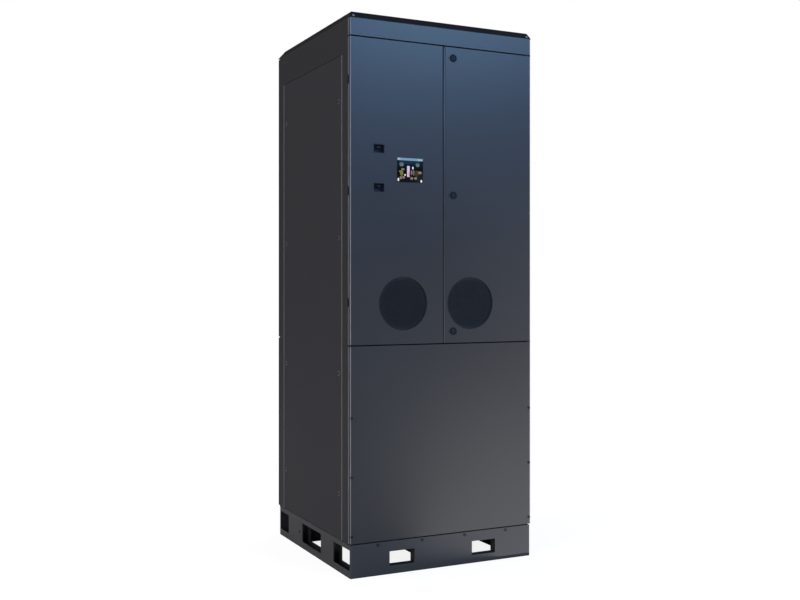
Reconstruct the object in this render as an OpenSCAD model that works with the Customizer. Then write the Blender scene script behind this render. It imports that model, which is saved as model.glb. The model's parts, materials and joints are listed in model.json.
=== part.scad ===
// Coolant distribution unit: a free-standing cabinet on a fork-lift base, with two front doors,
// a rear service door, two pumps, a plate heat exchanger and its pipework.
// Millimetres. +Z is up, -Y is the front, and the origin is on the floor under the centre.

/* [Cabinet] */
// Overall width
cabinet_w = 800; // [780:10:1000]
// Depth from the front door skin to the rear door skin
cabinet_d = 800; // [790:10:1000]
// Overall height from the floor to the roof
cabinet_h = 2122; // [2082:10:2302]
// Thickness of door and cover sheet
sheet_t = 2; // [1.5:0.5:3]
// Gap between neighbouring covers
seam_gap = 5; // [3:0.5:7]
// Height of the header cover above the doors
header_h = 65; // [50:1:90]
// Height of the lower front cover
lower_panel_h = 738; // [700:2:780]
// Height of the roof
roof_h = 24; // [14:1:40]
// Height of the roof's upright edge
roof_edge_h = 2; // [1:0.5:8]
// How far the roof's top stands in from the front and the sides
roof_slope = 12; // [8:1:40]
// How far the roof's top stands in from the rear
roof_slope_rear = 56; // [20:1:80]

/* [Base] */
// Height of the base
base_h = 125; // [120:1:150]
// Thickness of the base plates
base_t = 4; // [3:0.5:6]
// How far the base stands in at the front
base_inset_front = 3; // [1:1:10]
// How far the base stands in at each side
base_inset_side = 5; // [2:1:10]
// How far the base stands in at the rear
base_inset_rear = 10; // [4:1:14]
// Width of the flanges along the base plates
base_flange = 30; // [20:1:36]
// Width of a fork pocket
fork_w = 106; // [90:2:130]
// Height of a fork pocket
fork_h = 55; // [40:1:58]
// Height of the fork pockets above the floor
fork_z = 31; // [15:1:32]
// Distance from the centre to the middle of each fork pocket
fork_x = 180; // [150:5:220]
// Depth of the collar behind each fork pocket
fork_collar = 36; // [20:2:60]
// Height of the base side windows
window_h = 78; // [50:2:80]
// Height of the base side windows above the floor
window_z = 27; // [20:1:30]
// Length of the base windows near the front
front_window_l = 160; // [100:5:170]
// Length of the base windows near the rear
rear_window_l = 103; // [80:1:160]
// Length of the middle base window
middle_window_l = 210; // [120:5:240]
// Width of the box section along each side of the base
base_rail_w = 38; // [30:1:50]
// Width of the centre rail of the base
centre_rail_w = 40; // [30:5:90]
// Radius of the floor anchor holes
anchor_r = 7; // [5:0.5:9]
// Spacing of the floor anchor holes along the rail
anchor_spacing = 600; // [500:10:700]

/* [Frame] */
// Width of a corner post across the cabinet
post_w = 60; // [50:2:70]
// Depth of a corner post
post_d = 56; // [44:2:70]
// Wall of the posts and rails
frame_t = 2.5; // [2:0.25:4]
// Height of the side rails under the roof
top_rail_h = 126; // [100:2:150]
// Height of the equipment rails at mid height
shelf_rail_h = 30; // [20:2:40]
// Radius of the lifting eye holes in the roof
lift_hole_r = 6.5; // [5:0.5:9]
// Inset of the lifting eye holes from the sides of the cabinet
lift_inset = 75; // [68:1:90]

/* [Covers] */
// Gap around a side cover
cover_gap = 2; // [1:0.5:4]
// Radius of the cover screws
screw_r = 3; // [2.5:0.25:4]
// Radius of the heads of the cover screws
screw_head_r = 5.5; // [5:0.25:6]
// Height of the lowest screw above the lower edge of a lower cover
panel_screw_first = 27; // [20:1:40]
// Spacing of the screws up a lower cover
panel_screw_pitch = 222; // [180:2:224]
// Number of screws up each edge of a lower cover
panel_screw_count = 3; // [2:1:4]
// Distance of those screws from the cover's edge
panel_screw_inset = 9; // [8:0.5:16]
// Distance of the outer side cover screws from its lower and upper edge
side_screw_end = 172; // [100:2:220]
// Distance of the side cover screws from its front and rear edge
side_screw_inset = 27; // [20:1:40]

/* [Doors] */
// Depth of a door's folded edge
door_edge = 12; // [11:0.5:14]
// Space between a closed door and the frame
door_space = 8; // [8:0.5:12]
// Distance of the hinge pins from the door's side and face
hinge_inset = 9; // [9:0.5:10]
// Radius of a hinge pin
hinge_pin_r = 3; // [2.5:0.25:3.5]
// Radius of a hinge knuckle
hinge_knuckle_r = 6; // [5.5:0.25:6.5]
// Length of the frame's hinge knuckle
hinge_l = 24; // [16:1:40]
// Distance of the end hinges from the door's lower and upper edge
hinge_end = 160; // [120:5:250]
// Gap between the two front doors
door_split = 3; // [2:0.5:5]
// Width of a door seal
seal_w = 12; // [10:1:14]
// Distance of the seal from the door's hinge side
seal_inset = 24; // [23:1:30]
// Rear handle: distance of its spindle from the cabinet side
handle_inset = 100; // [95:1:120]
// Rear handle: length of its lever
handle_l = 120; // [80:5:160]

/* [Display and switches] */
// Width of the display's bezel
display_w = 114; // [100:1:130]
// Height of the display's bezel
display_h = 97; // [84:1:110]
// Depth of the display's case behind the door
display_case_d = 42; // [30:1:60]
// Distance of the display's middle from the door split
display_x = 148; // [130:1:160]
// Height of the display's middle above the door's lower edge
display_up = 665; // [640:1:680]
// Width of a switch pocket
switch_w = 47; // [40:1:60]
// Height of a switch pocket
switch_h = 35; // [30:1:44]
// Depth of a switch pocket
switch_d = 22; // [18:1:28]
// Distance of the switch pockets from the door split
switch_x = 279; // [265:1:290]
// Height of the lower switch pocket above the door's lower edge
switch_up = 594; // [570:1:610]
// Height of the upper pocket over the lower one
switch_pitch = 147; // [120:1:160]

/* [Fans] */
// Radius of the round air opening
fan_r = 103; // [90:1:104]
// Height of the fans above the door's lower edge
fan_up = 155; // [150:1:190]
// Distance of the left fan from the door split
fan_left_x = 177; // [150:1:200]
// Distance of the right fan from the door split
fan_right_x = 117; // [116:1:150]
// Depth of a fan housing
fan_d = 55; // [45:1:58]
// Wall of a fan housing
fan_wall = 4; // [3:0.5:4.5]
// Spacing of the holes in the fan grilles
grille_pitch = 17; // [15:1:25]
// Radius of the holes in the fan grilles
grille_hole_r = 6; // [3:0.5:6.5]
// Number of blades on a fan rotor
blade_count = 7; // [5:1:9]

/* [Locks] */
// Radius of a quarter-turn lock's flange
lock_r = 15; // [13:0.5:17]
// Distance of the locks from the door split
lock_x = 41; // [40:0.5:46]
// Height of the bottom lock above the door's lower edge
lock_up = 45; // [44:0.5:50]
// Height of the middle lock above the door's lower edge
lock_middle_up = 576; // [500:2:650]
// Distance of the top lock from the door's upper edge
lock_drop = 42; // [40:1:80]
// Length of the upper locks' tongue
tongue_l = 48; // [46:1:52]
// Length of the bottom lock's tongue
bottom_tongue_l = 40; // [38:1:41]

/* [Cooling plant] */
// Radius of the pipes
pipe_r = 44.45; // [38:0.5:48]
// Wall of the pipes
pipe_wall = 3.2; // [2.5:0.1:5]
// Bend radius of the pipes
bend_r = 76; // [70:1:82]
// Radius of the pipe flanges
flange_r = 100; // [98:1:104]
// Thickness of the pipe flanges
flange_t = 20; // [16:1:24]
// Bolt circle diameter of the pipe flanges
flange_pcd = 160; // [150:2:170]
// Radius of the flange bolt holes
flange_hole_r = 9; // [7:0.5:10]
// How far the pipe flanges stand out behind the rear doors
flange_out = 40; // [30:1:80]
// Distance of the pipes from the centre
pipe_x = 110; // [108:1:116]
// Height of the lower pipe row
pipe_low_z = 360; // [350:2:370]
// Height of the upper pipe row
pipe_high_z = 680; // [660:2:700]
// Width of the heat exchanger
exchanger_w = 380; // [372:2:390]
// Height of the heat exchanger
exchanger_h = 700; // [650:5:760]
// Thickness of the heat exchanger's plate pack
exchanger_pack = 200; // [150:5:210]
// Thickness of the heat exchanger's end plates
end_plate_t = 22; // [16:1:25]
// Distance of each pump from the centre
pump_x = 170; // [165:1:180]
// Radius of the pump motors
motor_r = 90; // [70:1:94]
// Height of the pump motors
motor_h = 290; // [220:5:320]
// Radius of the expansion vessel
vessel_r = 70; // [50:1:74]
// Height of the expansion vessel
vessel_h = 380; // [300:5:450]

/* [Hidden] */
$fn = 64;

// Colours
paint = "#35393f";
dark_paint = "#26282b";
galvanised = "#9aa0a3";
steel = "#b9bcbe";
rubber = "#1a1a1a";

// Clearances
fit_gap = 0.05;      // running fit of a pin or shaft in its bore
hole_gap = 0.3;      // screw or barrel in its hole
loose_gap = 0.3;     // parts of different bodies that nearly touch
part_gap = 1.5;      // room between a swinging part and its neighbour

// Overall planes
half_w = cabinet_w / 2;
half_d = cabinet_d / 2;
roof_z = cabinet_h - roof_h;
header_z = roof_z - header_h;
lower_z0 = base_h + seam_gap;
lower_z1 = lower_z0 + lower_panel_h;
door_z0 = lower_z1 + seam_gap;
door_z1 = header_z - seam_gap;
seal_drop = 12;
seal_rise = 4;
top_cross_z = door_z1 - seal_drop - seal_w;
rear_door_z1 = roof_z - seam_gap;

// Frame planes, as distances from the centre
post_face = half_d - door_edge - door_space;
post_back = post_face - post_d;
post_inner = half_w - post_w;
mid_z0 = lower_z1 - 30;
mid_z1 = door_z0 + seal_rise + seal_w + 1;
rail_flange_t = 4;
shelf_z1 = lower_z1 + shelf_rail_h;
shelf_rail_w = 33;
side_rail_z = roof_z - top_rail_h;
side_panel_z1 = side_rail_z - cover_gap;

// Base planes
base_x = half_w - base_inset_side;
base_front = -half_d + base_inset_front;
base_rear = half_d - base_inset_rear;
pocket_top = fork_z + fork_h;
centre_rail_h = pocket_top + base_t;
beam_w = 60;
beam_y = 155;
collar_t = 3;

// Doors
pin_x = half_w - hinge_inset;
pin_y = half_d - hinge_inset;
seal_holder = door_edge - sheet_t;
seal_t = door_space - loose_gap;
split_half = door_split / 2;
edge_r = 6;
handle_tongue_l = 30;
mullion_x0 = -30;
mullion_x1 = 6;
mullion_d = 34;
front_hinge_z = [for (i = [0 : 2]) door_z0 + hinge_end + i * (door_z1 - door_z0 - 2 * hinge_end) / 2];
rear_hinge_z = [for (i = [0 : 2]) door_z0 + hinge_end + i * (rear_door_z1 - door_z0 - 2 * hinge_end) / 2];
display_z = door_z0 + display_up;
fan_z = door_z0 + fan_up;
switch_z = [door_z0 + switch_up, door_z0 + switch_up + switch_pitch];
lock_z = [door_z0 + lock_up, door_z0 + lock_middle_up, door_z1 - lock_drop];
inner_skin = half_d - sheet_t;

// Cooling plant
bore_r = pipe_r - pipe_wall;
beam_front_y = -150;
beam_rear_y = 50;
shelf_beam_w = 40;
shelf_x = half_w - 22 - shelf_rail_w;
vessel_y = 200;
vessel_gap = 6;
vessel_foot_r = vessel_r - 20;
bracket_l = 2 * vessel_r;
bracket_w = 2 * vessel_foot_r;
head_plate_y1 = 70;
head_plate_y0 = head_plate_y1 - end_plate_t;
pressure_plate_y0 = head_plate_y0 - exchanger_pack - end_plate_t;
exchanger_z = shelf_z1;
exchanger_port_z = [exchanger_z + 102, exchanger_z + exchanger_h - 102];
riser_low_y = head_plate_y1 + bend_r;
riser_high_y = riser_low_y + 2 * pipe_r + 11;
stub_y0 = riser_high_y + bend_r;
stub_y1 = half_d + flange_out;
pump_y = -120;
pump_z = base_h + sheet_t + 125;
header_rear_y = 60;
header_front_y = -270;
header_extra_r = 12;
under_z = lower_z1 - pipe_r - 4;
valve_y = (riser_low_y + bend_r + stub_y0) / 2;
tie_overhang = 15;

// A box between two opposite corners
module block(a, b) {
  translate(a) cube(b - a);
}

// A straight hollow rail between two opposite corners, open along the given axis
module rail(a, b, along, t = frame_t) {
  open = [for (i = [0 : 2]) i == along ? -1 : t];
  difference() {
    block(a, b);
    block(a + open, b - open);
  }
}

// A cylinder along +Y that starts at the given point
module along_y(p, r, l) {
  translate(p) rotate([-90, 0, 0]) cylinder(r = r, h = l);
}

// The same thing on the left and on the right
module both_sides() {
  children();
  mirror([1, 0, 0]) children();
}

// ---- Base ----

// A front or rear base plate with flanges and two collared fork pockets. Its outer face is at y = 0
module base_end_plate() {
  x = base_x - base_t;
  difference() {
    union() {
      block([-x, 0, 0], [x, base_t, base_h]);
      block([-x, 0, 0], [x, base_flange, base_t]);
      block([-x, 0, base_h - base_t], [x, base_flange, base_h]);
      both_sides()
        block([fork_x - fork_w / 2 - collar_t, 0, fork_z - collar_t],
              [fork_x + fork_w / 2 + collar_t, fork_collar, pocket_top + collar_t]);
    }
    both_sides()
      block([fork_x - fork_w / 2, -1, fork_z], [fork_x + fork_w / 2, fork_collar + 1, pocket_top]);
    for (x = plate_bolt_x)
      along_y([x, -1, base_h - 10], screw_r + hole_gap, base_t + 2);
  }
}

plate_bolt_x = [for (i = [-1.5 : 1.5]) i * (fork_x + 8)];

module base_front_plate() {
  color(dark_paint) translate([0, base_front, 0]) base_end_plate();
}

module base_rear_plate() {
  color(dark_paint) translate([0, base_rear, 0]) mirror([0, 1, 0]) base_end_plate();
}

module base_side_rails() {
  y0 = base_front;
  y1 = base_rear;
  wall_x = base_x - base_rail_w;
  corner = base_t + 4;
  windows = [
    [y0 + corner, y0 + corner + front_window_l],
    [8 - middle_window_l / 2, 8 + middle_window_l / 2],
    [y1 - corner - rear_window_l, y1 - corner]
  ];
  color(dark_paint) both_sides() difference() {
    union() {
      block([base_x - base_t, y0, 0], [base_x, y1, base_h]);
      block([wall_x, y0 + base_flange, 0], [wall_x + base_t, y1 - base_flange, base_h]);
      block([base_x - post_w, y0 + base_flange, 0], [base_x, y1 - base_flange, base_t]);
      block([base_x - post_w - 1, y0 + base_flange, base_h - base_t], [base_x, y1 - base_flange, base_h]);
    }
    for (w = windows)
      block([wall_x - 1, w[0], window_z], [base_x + 1, w[1], window_z + window_h]);
    translate([base_x - base_t - 1, base_front + 0.69 * (base_rear - base_front), base_h / 2])
      rotate([0, 90, 0]) cylinder(r = anchor_r, h = base_t + 2);
  }
}

module base_centre_rail() {
  w = centre_rail_w / 2;
  color(dark_paint) difference() {
    rail([-w, base_front + base_flange, 0], [w, base_rear - base_flange, centre_rail_h], 1, base_t);
    for (s = [-1, 1])
      translate([0, s * anchor_spacing / 2, -1]) cylinder(r = anchor_r, h = base_t + 2);
  }
}

// The rear beam stands on two plates that reach down to the floor flanges and let the forks through
module base_cross_beams() {
  x = base_x - base_rail_w;
  top_x = base_x - base_t - post_w;
  plate_y = beam_y + beam_w / 2;
  color(dark_paint) {
    for (s = [-1, 1]) {
      y = s * beam_y;
      rail([-x, y - beam_w / 2, centre_rail_h], [x, y + beam_w / 2, base_h - base_t], 0);
      block([-top_x, y - beam_w / 2, base_h - base_t], [top_x, y + beam_w / 2, base_h]);
    }
    both_sides() difference() {
      block([centre_rail_w / 2, plate_y, base_t], [x, plate_y + base_t, base_h - base_t]);
      block([fork_x - fork_w / 2, plate_y - 1, fork_z], [fork_x + fork_w / 2, plate_y + base_t + 1, pocket_top]);
    }
  }
}

tray_h = 40;
tray_gap = [2, 4];

module drip_tray() {
  x = post_inner - tray_gap.x;
  y = post_back - tray_gap.y;
  color(galvanised) difference() {
    block([-x, -y, base_h], [x, y, base_h + tray_h]);
    block([-x + sheet_t, -y + sheet_t, base_h + sheet_t], [x - sheet_t, y - sheet_t, base_h + tray_h + 1]);
  }
}

// ---- Frame ----

// Heights of the screws that hold a side cover, and of those that hold a lower cover
side_screw_z = [for (share = [0, 0.307, 0.652, 1])
  lower_z0 + side_screw_end + share * (side_panel_z1 - lower_z0 - 2 * side_screw_end)];
panel_screw_z = [for (i = [0 : panel_screw_count - 1])
  lower_z0 + panel_screw_first + i * panel_screw_pitch];

// A front corner post on the right, with tabs for the side cover
module corner_post() {
  tab_l = side_screw_inset + cover_gap + 10;
  difference() {
    union() {
      rail([post_inner, -post_face, base_h], [half_w, -post_back, roof_z], 2);
      for (z = side_screw_z)
        block([half_w - sheet_t - 3, -post_back, z - 15], [half_w - sheet_t, -post_back + tab_l, z + 15]);
    }
    for (z = side_screw_z)
      translate([half_w - 10, -post_back + cover_gap + side_screw_inset, z])
        rotate([0, 90, 0]) cylinder(r = screw_r + hole_gap, h = 12);
    for (z = panel_screw_z)
      along_y([half_w - panel_screw_inset, -post_face - 1, z], screw_r + hole_gap, frame_t + 2);
  }
}

module front_posts() {
  color(paint) both_sides() corner_post();
}

keeper_lap = 13;
keeper_h = 60;

module rear_posts() {
  x = half_w - handle_inset + handle_tongue_l - keeper_lap;
  color(paint) mirror([0, 1, 0]) both_sides() corner_post();
  // Keeper behind which the rear handle's tongue turns
  color(paint) block([-post_inner, post_face - rail_flange_t, handle_z - keeper_h / 2],
                     [-x, post_face, handle_z + keeper_h / 2]);
}

module top_side_rails() {
  y = post_back;
  color(paint) both_sides()
    rail([post_inner, -y, side_rail_z], [half_w, y, roof_z], 1);
}

module top_cross_rails() {
  color(paint) for (s = [0, 1]) mirror([0, s, 0])
    difference() {
      rail([-post_inner, -post_face, top_cross_z], [post_inner, -post_face + cross_rail_d, roof_z], 0);
      // Hole that the left door's bolt enters
      translate([bolt_x, bolt_y, top_cross_z - 1]) cylinder(r = bolt_r + 1, h = frame_t + 2);
    }
}

cross_rail_d = 40;
bolt_r = 5;
bolt_x = -60;
bolt_y = -post_face + 14;

// Cross rails at mid height, the rails and beams that carry the heat exchanger, and the vessel's bracket
module mid_rails() {
  x = post_inner;
  color(galvanised) {
    for (s = [0, 1]) mirror([0, s, 0]) {
      block([-x, -post_face, mid_z0], [x, -post_face + rail_flange_t, mid_z1]);
      block([-x, -post_face, mid_z0], [x, -post_face + cross_rail_d, mid_z0 + rail_flange_t]);
    }
    both_sides() rail([shelf_x, -post_back, lower_z1], [shelf_x + shelf_rail_w, post_back, shelf_z1], 1);
    for (y = [beam_front_y, beam_rear_y])
      rail([-shelf_x, y - shelf_beam_w / 2, lower_z1], [shelf_x, y + shelf_beam_w / 2, shelf_z1], 0);
    rail([-shelf_x, vessel_y - shelf_beam_w / 2, lower_z1],
         [-shelf_x + bracket_l, vessel_y + shelf_beam_w / 2, shelf_z1], 0);
    block([-shelf_x, vessel_y - bracket_w / 2, shelf_z1 - rail_flange_t],
          [-shelf_x + bracket_l, vessel_y + bracket_w / 2, shelf_z1]);
  }
}

// The upright behind the door split: a flange that the seals meet, and a web
module door_mullion() {
  z1 = top_cross_z;
  color(paint) {
    block([mullion_x0, -post_face, mid_z1], [mullion_x1, -post_face + rail_flange_t, z1]);
    block([mullion_x0, -post_face, mid_z1], [mullion_x0 + rail_flange_t, -post_face + mullion_d, z1]);
  }
}

// The roof's outline, grown inwards by t
module roof_form(t) {
  e = roof_edge_h;
  x = half_w - t;
  y = half_d - t;
  h = roof_h - t;
  intersection() {
    translate([0, y, 0]) rotate([90, 0, 0]) linear_extrude(2 * y)
      polygon([[-x, 0], [x, 0], [x, e], [x - roof_slope, h], [-x + roof_slope, h], [-x, e]]);
    translate([-x, 0, 0]) rotate([90, 0, 90]) linear_extrude(2 * x)
      polygon([[-y, 0], [y, 0], [y, e], [y - roof_slope_rear, h], [-y + roof_slope, h], [-y, e]]);
  }
}

module roof_panel() {
  lift_x = half_w - lift_inset;
  lift_y = half_d - lift_inset;
  color(dark_paint) translate([0, 0, roof_z]) difference() {
    roof_form(0);
    translate([0, 0, -1]) roof_form(frame_t);
    for (x = [-lift_x, lift_x], y = [-lift_y, lift_y])
      translate([x, y, -1]) cylinder(r = lift_hole_r, h = roof_h + 2);
  }
}

// ---- Covers ----

// The plan of a folded pan with its two front corners rounded
module pan_plan(x0, x1, y0, y1, r) {
  translate([x0 + r, y0]) square([x1 - x0 - 2 * r, y1 - y0]);
  translate([x0, y0 + r]) square([x1 - x0, y1 - y0 - r]);
  for (x = [x0 + r, x1 - r])
    translate([x, y0 + r]) circle(r);
}

// A folded sheet pan on the front plane
module pan(x0, x1, z0, z1) {
  t = sheet_t;
  difference() {
    translate([0, 0, z0]) linear_extrude(z1 - z0)
      pan_plan(x0, x1, -half_d, -half_d + door_edge, edge_r);
    translate([0, 0, z0 + t]) linear_extrude(z1 - z0 - 2 * t)
      pan_plan(x0 + t, x1 - t, -inner_skin, -half_d + door_edge + 1, edge_r - t);
  }
}

// A fixed front cover between two heights, with blocks that space it from the posts, and screw holes
module front_cover(z0, z1, block_z, screw_z) {
  difference() {
    union() {
      pan(-half_w, half_w, z0, z1);
      both_sides() for (z = block_z)
        block([half_w - panel_screw_inset - 12, -inner_skin, z - 12],
              [half_w - panel_screw_inset + 5, -post_face, z + 12]);
    }
    both_sides() for (z = screw_z)
      along_y([half_w - panel_screw_inset, -half_d - 1, z], screw_r + hole_gap, 30);
  }
}

module header_panel() {
  color(paint) front_cover(header_z, roof_z, [header_z + header_h / 2], []);
}

module lower_front_panel() {
  color(paint) front_cover(lower_z0, lower_z1, panel_screw_z, panel_screw_z);
}

module side_panel() {
  y = post_back - cover_gap;
  color(paint) difference() {
    union() {
      block([half_w - sheet_t, -y, lower_z0], [half_w, y, side_panel_z1]);
      for (s = [-1, 1])
        block([half_w - 18, s * 110 - 20, lower_z0 + 60], [half_w - sheet_t, s * 110 + 20, side_panel_z1 - 60]);
    }
    for (s = [-1, 1], z = side_screw_z)
      translate([half_w - 5, s * (y - side_screw_inset), z])
        rotate([0, 90, 0]) cylinder(r = screw_r + hole_gap, h = 10);
  }
}

module left_side_panel() { mirror([1, 0, 0]) side_panel(); }

module right_side_panel() { side_panel(); }

module rear_pipe_panel() {
  color(paint) difference() {
    mirror([0, 1, 0]) front_cover(lower_z0, lower_z1, panel_screw_z, panel_screw_z);
    both_sides() for (z = [pipe_low_z, pipe_high_z])
      along_y([pipe_x, half_d - 30, z], pipe_r + 4, 40);
  }
}

// A screw along +Z whose head rests on z = 0
module screw(l) {
  difference() {
    union() {
      cylinder(r = screw_head_r, h = 2);
      translate([0, 0, -l]) cylinder(r = screw_r, h = l);
    }
    translate([0, 0, 1]) cylinder(r = screw_r * 0.6, h = 2, $fn = 6);
  }
}

module panel_screws() {
  side_y = post_back - cover_gap - side_screw_inset;
  color(dark_paint) both_sides() {
    for (s = [0, 1]) mirror([0, s, 0]) {
      for (z = panel_screw_z)
        translate([half_w - panel_screw_inset, -half_d, z]) rotate([90, 0, 0]) screw(door_edge + door_space + 1);
      for (z = side_screw_z)
        translate([half_w, -side_y, z]) rotate([0, 90, 0]) screw(sheet_t + 3);
    }
    for (i = [2, 3]) {
      translate([plate_bolt_x[i], base_front, base_h - 10]) rotate([90, 0, 0]) screw(base_t);
      translate([plate_bolt_x[i], base_rear, base_h - 10]) rotate([-90, 0, 0]) screw(base_t);
    }
  }
}

// ---- Hinges ----
// Each is drawn for the left front door and mirrored for the others.

module frame_hinge(z) {
  translate([-pin_x, -pin_y, z]) {
    cylinder(r = hinge_pin_r, h = 2 * hinge_l, center = true);
    cylinder(r = hinge_knuckle_r, h = hinge_l, center = true);
    block([4, -3, -hinge_l / 2], [13, pin_y - post_face, hinge_l / 2]);
  }
}

module door_hinge(z) {
  gap = 0.5;
  l = hinge_l / 2 - gap;
  translate([-pin_x, -pin_y, z])
    for (s = [0, 1]) mirror([0, 0, s]) translate([0, 0, hinge_l / 2 + gap]) difference() {
      union() {
        cylinder(r = hinge_knuckle_r, h = l);
        block([-2, sheet_t - hinge_inset, 0], [13, -2, l]);
      }
      translate([0, 0, -1]) cylinder(r = hinge_pin_r + fit_gap, h = l + 2);
    }
}

module frame_hinges() {
  color(steel) {
    both_sides() for (z = front_hinge_z) frame_hinge(z);
    rotate([0, 0, 180]) for (z = rear_hinge_z) frame_hinge(z);
  }
}

module left_door_hinges() {
  color(steel) for (z = front_hinge_z) door_hinge(z);
}

module right_door_hinges() {
  color(steel) mirror([1, 0, 0]) for (z = front_hinge_z) door_hinge(z);
}

module rear_door_hinges() {
  color(steel) rotate([0, 0, 180]) for (z = rear_hinge_z) door_hinge(z);
}

// Notches in a door's edge, around the hinge arms
module hinge_notches(heights) {
  for (z = heights)
    block([-half_w - 1, -pin_y - 2, z - hinge_l / 2 - 2],
          [-half_w + sheet_t + 0.5, -half_d + door_edge + 1, z + hinge_l / 2 + 2]);
}

// ---- Doors ----

// A rectangular ring between two opposite corners, standing in the XZ plane
module ring(a, b, w) {
  difference() {
    block(a, b);
    block([a.x + w, a.y - 1, a.z + w], [b.x - w, b.y + 1, b.z - w]);
  }
}

// Outline that a door's seal follows: open on the split side of the right door
module seal_path(side, y0, y1) {
  x0 = side == "right" ? split_half + sheet_t : -half_w + seal_inset;
  x1 = side == "left" ? mullion_x0 + seal_w : half_w - seal_inset;
  z0 = door_z0 + seal_rise;
  z1 = (side == "rear" ? rear_door_z1 : door_z1) - seal_drop;
  difference() {
    ring([x0, y0, z0], [x1, y1, z1], seal_w);
    if (side == "right")
      block([x0 - 1, y0 - 1, z0 + seal_w], [x0 + seal_w + 1, y1 + 1, z1 - seal_w]);
  }
}

seal_y = -half_d + door_edge;

module left_door() {
  color(paint) difference() {
    union() {
      pan(-half_w, -split_half, door_z0, door_z1);
      seal_path("left", -inner_skin, seal_y);
      bolt_guide();
    }
    hinge_notches(front_hinge_z);
    along_y([-fan_left_x, -half_d - 1, fan_z], fan_r, 20);
    block([-display_x - display_w / 2 + 4, -half_d - 1, display_z - display_h / 2 + 4],
          [-display_x + display_w / 2 - 4, -half_d + 20, display_z + display_h / 2 - 4]);
    for (z = switch_z)
      block([-switch_x - switch_w / 2, -half_d - 1, z - switch_h / 2],
            [-switch_x + switch_w / 2, -inner_skin + 1, z + switch_h / 2]);
  }
}

module left_door_seal() {
  color(rubber) seal_path("left", seal_y, seal_y + seal_t);
}

module right_door() {
  color(paint) difference() {
    union() {
      pan(split_half, half_w, door_z0, door_z1);
      seal_path("right", -inner_skin, seal_y);
    }
    mirror([1, 0, 0]) hinge_notches(front_hinge_z);
    along_y([fan_right_x, -half_d - 1, fan_z], fan_r, 20);
    for (z = lock_z)
      along_y([lock_x, -half_d - 1, z], barrel_r + hole_gap, 10);
  }
}

module right_door_seal() {
  color(rubber) seal_path("right", seal_y, seal_y + seal_t);
}

louvre_l = 230;
louvre_h = 7;
louvre_pitch = 18;
louvre_count = 12;
louvre_inset = 30;
louvre_margin = 120;
handle_boss_w = 8;
handle_boss_l = 14;
boss_proud = 2;
handle_boss_y = half_d + boss_proud - handle_boss_l;

module rear_door() {
  groups = [door_z0 + louvre_margin, rear_door_z1 - louvre_margin - louvre_count * louvre_pitch];
  color(paint) difference() {
    union() {
      mirror([0, 1, 0]) pan(-half_w, half_w, door_z0, rear_door_z1);
      mirror([0, 1, 0]) seal_path("rear", -inner_skin, seal_y);
      along_y([-half_w + handle_inset, handle_boss_y, handle_z], spindle_r + handle_boss_w, handle_boss_l);
    }
    rotate([0, 0, 180]) hinge_notches(rear_hinge_z);
    both_sides() for (z = groups, i = [0 : louvre_count - 1])
      block([louvre_inset, inner_skin - 1, z + i * louvre_pitch],
            [louvre_inset + louvre_l, half_d + 1, z + i * louvre_pitch + louvre_h]);
    along_y([-half_w + handle_inset, handle_boss_y - 1, handle_z], spindle_r + fit_gap, handle_boss_l + 2);
  }
}

module rear_door_seal() {
  color(rubber) mirror([0, 1, 0]) seal_path("rear", seal_y, seal_y + seal_t);
}

spindle_r = 8;
handle_z = (door_z0 + rear_door_z1) / 2;
tongue_t = 4;
tongue_w = 14;
tongue_y = -post_face + rail_flange_t + 0.5;

// A tongue from its spindle towards -Z, with its front face at y = 0
module tongue(l) {
  block([-tongue_w / 2, 0, -l], [tongue_w / 2, tongue_t, tongue_w / 2]);
}

module rear_door_handle() {
  color(dark_paint) translate([-half_w + handle_inset, 0, handle_z]) {
    along_y([0, -tongue_y - tongue_t, 0], spindle_r, half_d + 12 + tongue_y + tongue_t);
    along_y([0, half_d + 2.5, 0], 15, 12);
    block([-11, half_d + 4.5, -handle_l], [11, half_d + 14.5, 0]);
    translate([0, -tongue_y, 0]) mirror([0, 1, 0]) tongue(handle_tongue_l);
  }
}

// ---- Left door's bolt ----

bolt_guide_z = door_z1 - 78;
bolt_guide_h = 24;
bolt_guide_w = 24;
bolt_wall = 4;
bolt_tail = 26;
bolt_lift = 12;

module bolt_guide() {
  difference() {
    block([bolt_x - bolt_guide_w / 2, -inner_skin, bolt_guide_z],
          [bolt_x + bolt_guide_w / 2, bolt_y + bolt_r + bolt_wall, bolt_guide_z + bolt_guide_h]);
    translate([bolt_x, bolt_y, bolt_guide_z - 1]) cylinder(r = bolt_r + fit_gap, h = bolt_guide_h + 2);
  }
}

module left_door_bolt() {
  top = top_cross_z - part_gap;
  color(steel) translate([bolt_x, bolt_y, bolt_guide_z - bolt_tail]) {
    cylinder(r = bolt_r, h = top - bolt_guide_z + bolt_tail);
    cylinder(r = bolt_r + bolt_wall, h = bolt_tail - bolt_lift - part_gap);
  }
}

// ---- Display and switches ----

module display_housing() {
  w = display_w / 2;
  h = display_h / 2;
  color("#141416") translate([-display_x, -half_d, display_z]) difference() {
    union() {
      block([-w, -1.5, -h], [w, 0, h]);
      block([-w + 4.5, 0, -h + 4.5], [w - 4.5, display_case_d, h - 4.5]);
    }
    block([-w + 6, -2, -h + 7], [w - 6, 1, h - 7]);
    block([-w + 10, -2, -h + 11], [w - 10, display_case_d - 2, h - 11]);
  }
}

module display_screen() {
  w = display_w / 2 - 6.3;
  h = display_h / 2 - 7.3;
  color("#0e1a24") translate([-display_x, -half_d, display_z]) block([-w, -0.9, -h], [w, 1, h]);
}

toggle_r = 2;
toggle_y = -half_d + switch_d - 8;

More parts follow.
